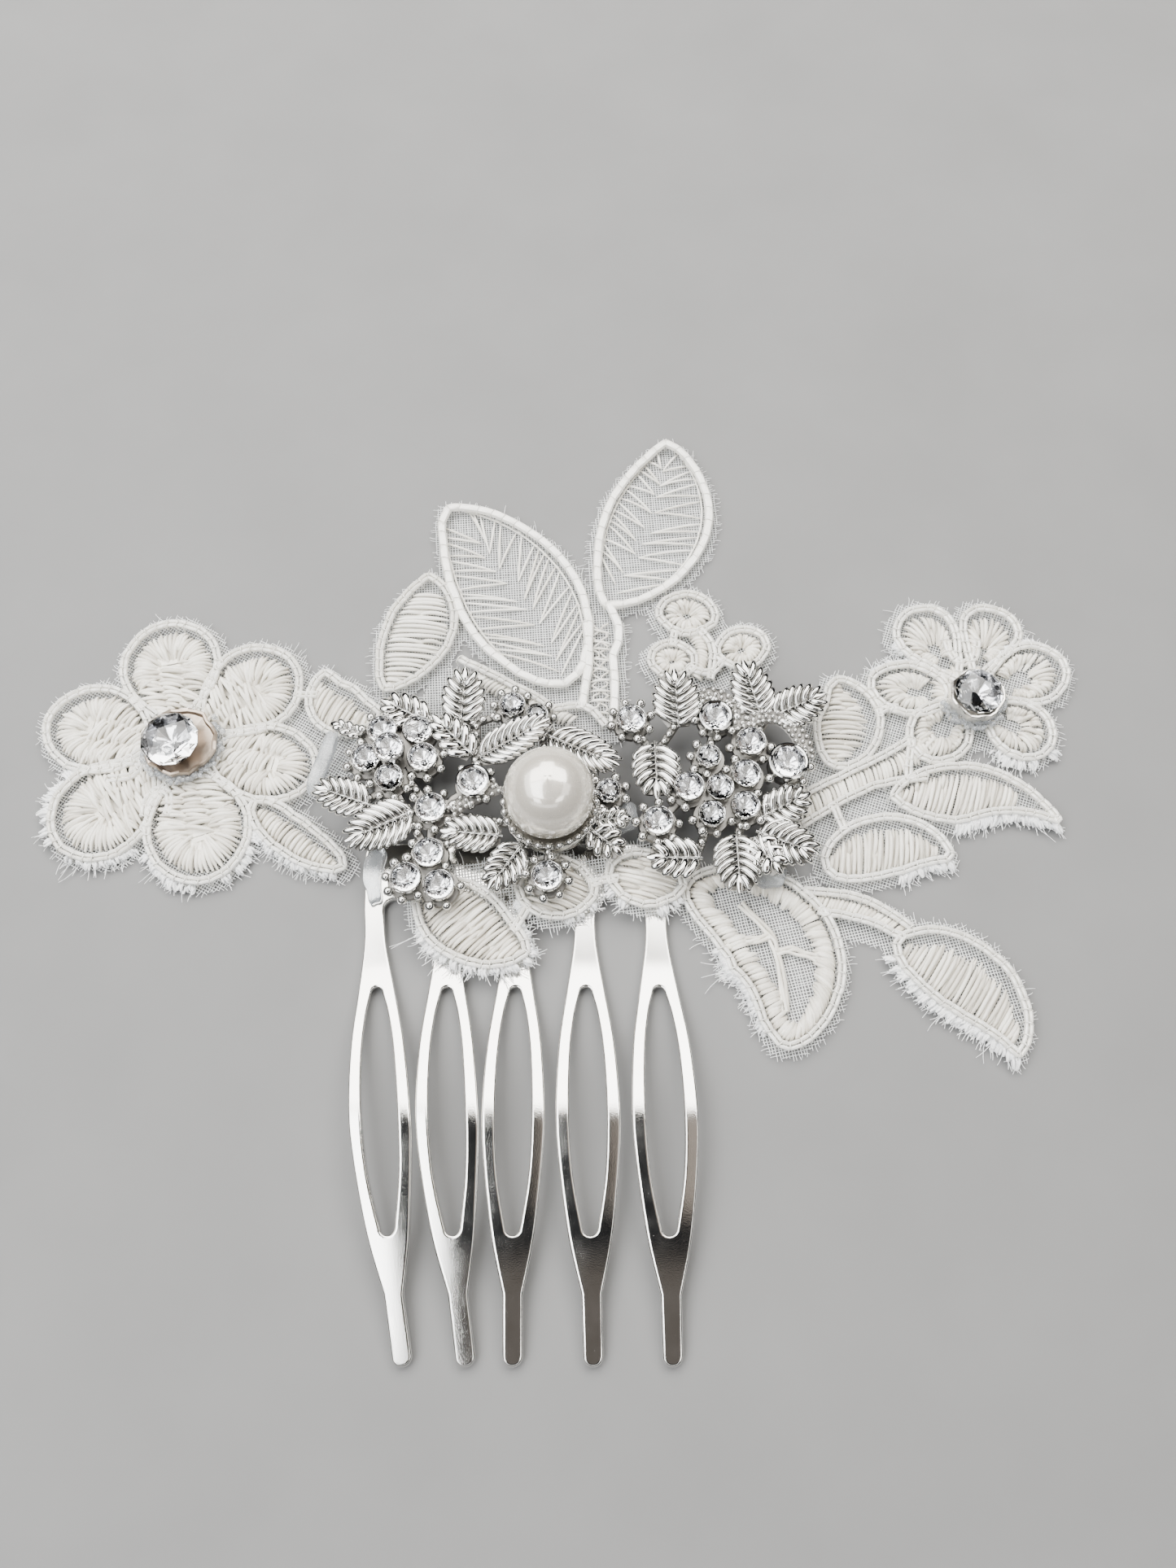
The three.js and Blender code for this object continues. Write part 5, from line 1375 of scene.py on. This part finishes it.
def foil_cup(bright, shaded, x, y, radius, floor, turn, tall=1.0, spokes=8):
    """Mirror foil under a stone in wedges, every second one near-black foil as painted shade, as a
    brilliant's facets look.
    """
    for k in range(2 * spokes):
        start = turn + 2 * math.pi * (k / 2 if k % 2 == 0 else (k - 1) / 2 + 0.58) / spokes
        end = start + 2 * math.pi * (0.58 if k % 2 == 0 else 0.42) / spokes
        rows = [(0.0, -0.06, start), (0.5, 0.2, start), (0.5, 0.2, end), (1.0, 0.84, start),
                (1.0, 0.84, end)]
        verts = [about(x, y, radius * share, angle, floor + z * tall - drop)
                 for drop in (0.0, 0.06) for share, z, angle in rows]
        faces = [(0, 1, 2), (1, 3, 4, 2), (5, 7, 6), (6, 7, 9, 8), (0, 5, 6, 1), (1, 6, 8, 3),
                 (3, 8, 9, 4), (4, 9, 7, 2), (2, 7, 5, 0)]
        (shaded if k % 2 else bright).add(verts, faces)


def stones(side, rows, rng):
    """The cut stones of one casting, and the foil under all of them."""
    bright, shaded = Shell(), Shell()
    for index, (x, y, radius, raised) in enumerate(rows):
        turn = rng.uniform(0, math.pi / 4)
        shell = Shell()
        hull(shell, chaton_points(x, y, radius * 0.97, STONE_FLOOR + raised, turn))
        shell.piece(f"chaton_{side}_{index + 1}", GLASS, "crystal", [f"stone_{side}_{index + 1}"])
        foil_cup(bright, shaded, x, y, radius * 0.98, STONE_FLOOR + raised, turn)
    bright.piece(f"stone_foils_{side}", FOIL, "foil_cup")
    shaded.piece(f"shaded_foils_{side}", SHADED_FOIL, "foil_cup")


def casting(side, rows, leaves, bars, curls, avoid, seed):
    """One rhodium casting with its stones. avoid lists x, y and radius where no grain goes."""
    rng = random.Random(SEED + seed)
    web, body, beads, cups = Shell(), Shell(), Shell(), Shell()
    pads(web, beads, rows, bars, rng)
    for leaf_row in leaves:
        cast_leaf(body, web, *leaf_row)
    for line in curls:
        curl(web, beads, line)
    settings(cups, rows, side)
    granulation(beads, rows, avoid, rng)
    if side == "left":
        pearl_rim(body, beads)
    body.piece(f"cast_leaves_{side}", RHODIUM, "rhodium_casting", [f"casting_{side}"], sharp=50)
    # The web takes the dark metal: painted shade between the stones, lobes and beads
    web.piece(f"painted_shade_web_{side}", PAINTED_SHADE_METAL, "rhodium_casting", sharp=40)
    beads.piece(f"granulation_{side}", RHODIUM, "rhodium_casting", sharp=60)
    cups.piece(f"stone_settings_{side}", RHODIUM, "rhodium_casting", sharp=40)
    stones(side, rows, rng)


def pearl_rim(body, beads):
    """The seat that the pearl is set in: a plate, a cupped rim and a bead edge."""
    x, y, _ = PEARL
    lathe(body, [(0.1, BASE_LOW), (5.2, BASE_LOW), (5.35, 3.7), (5.35, 5.2), (5.15, 5.4), (4.75, 5.35),
                 (4.3, 5.0), (3.6, 4.5), (2.5, 3.8), (0.1, 3.25)], x, y, 72)
    for k in range(RIM_BEADS):
        angle = 2 * math.pi * k / RIM_BEADS
        if not math.radians(20) < angle < math.radians(130):
            ball(beads, *about(x, y, 5.08, angle, 5.45), 0.47)


def pearl():
    """A large pearl, a little off round, with faint growth bands."""
    shell = Shell()
    sides, rows = 96, 60
    verts = []
    for i in range(rows + 1):
        tilt = math.pi * min(max(i, 0.02), rows - 0.02) / rows
        for j in range(sides):
            turn = 2 * math.pi * j / sides
            r = PEARL_RADIUS * (1 - 0.004 * (1 + math.sin(9 * tilt + 0.6 * math.sin(3 * turn))))
            verts.append((PEARL[0] + r * 0.99 * math.sin(tilt) * math.cos(turn),
                          PEARL[1] + r * math.sin(tilt) * math.sin(turn),
                          PEARL[2] - r * math.cos(tilt)))
    shell.add(verts, skin(rows + 1, sides))
    shell.piece("nacre_pearl", NACRE, "pearl", ["pearl"], sharp=60)


# Side, x, y and radius of the crystal, then its cup's middle, radius, rim height and foil
CRYSTALS = [
    ("left", -43.7, 10.6, 3.3, (-43.0, 10.9), 4.1, 0.9, BEIGE_FOIL),
    ("right", 48.7, 16.6, 2.8, (48.7, 16.5), 3.05, 1.75, SILVER_FOIL),
]
CUP_FLOOR = 2.25
CRYSTAL_TURN = 0.35
GLUE_GRAINS = 90


def crumpled_cup(shell, x, y, radius, rim, rng):
    """A foil cup with a wavy, dented wall."""
    sides = 26
    crumple = [1 + rng.uniform(-0.05, 0.05) for _ in range(sides)]
    profile = [(0.1, -0.5), (0.85, -0.5), (0.97, -0.2), (1.02, rim - 0.1), (0.99, rim),
               (0.93, rim - 0.05), (0.88, rim * 0.5), (0.5, 0.1), (0.1, 0.05)]
    verts = []
    for share, z in profile:
        for k in range(sides):
            out = radius * share * (crumple[k] if share > 0.6 else 1.0)
            dent = rng.uniform(-0.09, 0.09) if share > 0.6 else 0.0
            verts.append(about(x, y, out, 2 * math.pi * k / sides, CUP_FLOOR + z + dent))
    shell.add(verts, skin(len(profile), sides, closed=True))


def crystal_points(x, y, radius, low):
    """A six-sided pointed crystal whose top is a little tilted, with a band at its girdle."""
    points = [(x, y, low + 0.3)]
    for share, z, offset in ((0.42, 2.35, 0.0), (0.8, 2.02, 0.5), (0.5, 0.75, 0.5)):
        for k in range(6):
            angle = CRYSTAL_TURN + math.pi / 3 * (k + offset)
            height = low + z - 0.1 * share * math.cos(angle - 3.9)
            points.append(about(x, y, radius * share, angle, height))
    for k in range(12):
        points += [about(x, y, radius, CRYSTAL_TURN + math.pi / 6 * k, low + z) for z in (1.25, 1.45)]
    return points


def big_crystals():
    """The two loose crystals: a crumpled foil cup, a stone with a few big facets and grainy glue."""
    for index, (side, x, y, radius, (cx, cy), cup_radius, rim, foil) in enumerate(CRYSTALS):
        rng = random.Random(SEED + 40 + index)
        cup, stone, back, shaded, glue = Shell(), Shell(), Shell(), Shell(), Shell()
        crumpled_cup(cup, cx, cy, cup_radius, rim, rng)
        cup.piece(f"foiled_cup_{side}", foil, "foil_cup", [f"crystal_cup_{side}"], sharp=12)
        low = CUP_FLOOR + 0.75
        hull(stone, crystal_points(x, y, radius, low))
        stone.piece(f"pointed_crystal_{side}", GLASS, "crystal", [f"large_crystal_{side}"])
        foil_cup(back, shaded, x, y, radius * 0.98, low, CRYSTAL_TURN, 1.45, 6)
        back.piece(f"crystal_foil_{side}", BACK_FOIL, "foil_cup")
        shaded.piece(f"shaded_crystal_foil_{side}", SHADED_FOIL, "foil_cup")
        for k in range(GLUE_GRAINS):
            angle = math.radians(185) + math.radians(220) * k / (GLUE_GRAINS - 1)
            spot = about(cx, cy, cup_radius + rng.uniform(-0.15, 0.75), angle,
                         CUP_FLOOR - 0.1 + rng.uniform(-0.1, 0.25))
            ball(glue, *spot, rng.uniform(0.22, 0.4), 0.8, 5, 7)
        glue.piece(f"crystal_glue_{side}", GLUE_CLEAR, "set_glue", sharp=30)


# Where each dab sits, its underside and top, and its outline
GLUE = [
    ("left_tab", 2.25, 3.0,
     [(-25.0, 12.2), (-26.4, 11.8), (-28.2, 5.4), (-27.0, 5.0), (-25.6, 8.4)]),
    ("lower_left", 1.25, 2.2,
     [(-20.8, -2.0), (-21.3, -4.4), (-20.8, -6.4), (-20.1, -7.9), (-19.1, -7.2), (-19.4, -4.6),
      (-18.9, -1.8)]),
    ("middle", 2.3, 3.3,
     [(2.6, 3.8), (2.4, 0.2), (5.4, -0.4), (8.8, 0.4), (9.2, 3.0), (6.0, 4.2)]),
    ("right", 2.3, 3.3,
     [(21.2, -3.2), (21.8, -5.8), (24.4, -6.4), (25.6, -4.6), (24.0, -2.8)]),
]


def glue_dabs():
    """Domed dabs of set glue with soft, uneven edges."""
    for index, (place, low, high, corners) in enumerate(GLUE):
        rng = random.Random(SEED + 60 + index)
        loop = np.array(corners, float)
        centre = loop.mean(0)
        smooth = spline(np.vstack([loop, loop[:2]]), 48)[:-8]
        wobble = 1 + 0.05 * np.sin(np.arange(len(smooth)) * 0.9 + rng.uniform(0, 6))
        rise = high - low
        levels = ((0.9, low), (1.0, low + 0.15), (0.98, low + rise * 0.55), (0.86, low + rise * 0.85),
                  (0.6, high - 0.05), (0.3, high), (0.04, high + 0.02))
        verts = [(x, y, z) for scale, z in levels
                 for x, y in centre + (smooth - centre) * (scale * wobble)[:, None]]
        shell = Shell()
        shell.add(verts, skin(len(levels), len(smooth)))
        clean(shell.piece(f"glue_dab_{place}", GLUE_CLEAR, "set_glue", [f"glue_{place}"], sharp=60))


# ---------------------------------------------------------------- stage, in metres

FLOOR_HALF, FLOOR_Z = 1.5, -0.0002
PANEL_HEIGHT = 0.5
BACK_EDGE, FADE_STRIP = 0.112, 0.006
CAMERA_AIM, CAMERA_REACH = (0.00315, 0.00645), 0.136
CAMERA_TILT, CAMERA_LENS = 21, 27.03


def ground():
    """The plain pale floor."""
    mesh = bpy.data.meshes.new("pale_ground")
    corners = ((-1, -1), (1, -1), (1, 1), (-1, 1))
    mesh.from_pydata([(x * FLOOR_HALF, y * FLOOR_HALF, FLOOR_Z) for x, y in corners], [],
                     [(0, 1, 2, 3)])
    mesh.materials.append(FLOOR)
    floor = bpy.data.objects.new("pale_ground", mesh)
    bpy.context.scene.collection.objects.link(floor)


def panel(name, low, high, radiance, colour):
    """A soft box that hangs level, from corner low to corner high, in metres."""
    width, depth = high[0] - low[0], high[1] - low[1]
    light = bpy.data.lights.new(name, "AREA")
    light.shape = "RECTANGLE"
    light.size, light.size_y = width, depth
    light.energy = radiance * math.pi * width * depth
    light.color = colour
    lamp = bpy.data.objects.new(name, light)
    lamp.location = ((low[0] + high[0]) / 2, (low[1] + high[1]) / 2, PANEL_HEIGHT)
    bpy.context.scene.collection.objects.link(lamp)


def studio():
    """Soft boxes behind, to the left and further out all round. The teeth mirror what is nearly
    overhead, which stays dark, and dim and warm to the right and in front."""
    world = bpy.data.worlds.new("studio")
    world.use_nodes = True
    background = world.node_tree.nodes["Background"].inputs
    background["Color"].default_value = (0.85, 0.9, 1.0, 1.0)
    background["Strength"].default_value = 0.02
    bpy.context.scene.world = world
    day, cool, warm = (1.0, 0.975, 0.93), (0.985, 0.99, 0.985), (1.0, 0.86, 0.74)
    panel("back_box", (-0.46, BACK_EDGE), (0.46, 0.52), 9.6, day)
    panel("neck_box", (-0.24, 0.52), (0.16, 0.80), 9.0, day)
    for step, radiance in enumerate((5.0, 2.2, 0.7)):
        top = BACK_EDGE - FADE_STRIP * step
        panel(f"back_fade_{step + 1}", (-0.46, top - FADE_STRIP), (0.46, top), radiance, day)
    panel("left_box", (-0.46, -0.32), (-0.105, 0.094), 9.2, cool)
    panel("left_far", (-0.90, -0.40), (-0.46, 0.52), 3.0, cool)
    panel("right_dim", (0.05, -0.13), (0.080, 0.080), 0.22, warm)
    panel("right_glow", (0.080, -0.13), (0.30, 0.080), 0.42, warm)
    panel("right_far", (0.34, -0.30), (0.80, 0.094), 2.0, day)
    panel("front_dim", (-0.06, -0.36), (0.26, -0.20), 0.12, warm)
    panel("front_far", (-0.90, -0.90), (0.40, -0.62), 1.6, cool)
    panel("front_left", (-0.52, -0.56), (-0.22, -0.36), 6.5, cool)
    panel("front_right", (0.22, -0.52), (0.52, -0.30), 5.5, day)


def camera():
    """The camera stands in front of the comb and looks down on it, tilted from the vertical."""
    data = bpy.data.cameras.new("photo_view")
    data.sensor_width = 36.0
    data.lens = CAMERA_LENS
    data.clip_start = 0.005
    data.clip_end = 20.0
    cam = bpy.data.objects.new("photo_view", data)
    tilt = math.radians(CAMERA_TILT)
    x, y = CAMERA_AIM
    cam.location = (x, y - CAMERA_REACH * math.sin(tilt), CAMERA_REACH * math.cos(tilt))
    cam.rotation_euler = (tilt, 0.0, 0.0)
    bpy.context.scene.collection.objects.link(cam)
    bpy.context.scene.camera = cam


camera()
studio()
ground()
comb_plate()
left_flower()
top_spray()
floret()
right_flower()
lower_leaves()
bottom_petals()
casting("left", LEFT_STONES, LEFT_CAST_LEAVES, LEFT_BARS, LEFT_CURLS,
        [(PEARL[0], PEARL[1], 5.7), (-11.7, 5.6, 1.3)], 10)
casting("right", RIGHT_STONES, RIGHT_CAST_LEAVES, RIGHT_BARS, RIGHT_CURLS,
        [(25.3, 11.1, 1.6)], 11)
pearl()
big_crystals()
glue_dabs()

bpy.context.view_layer.update()
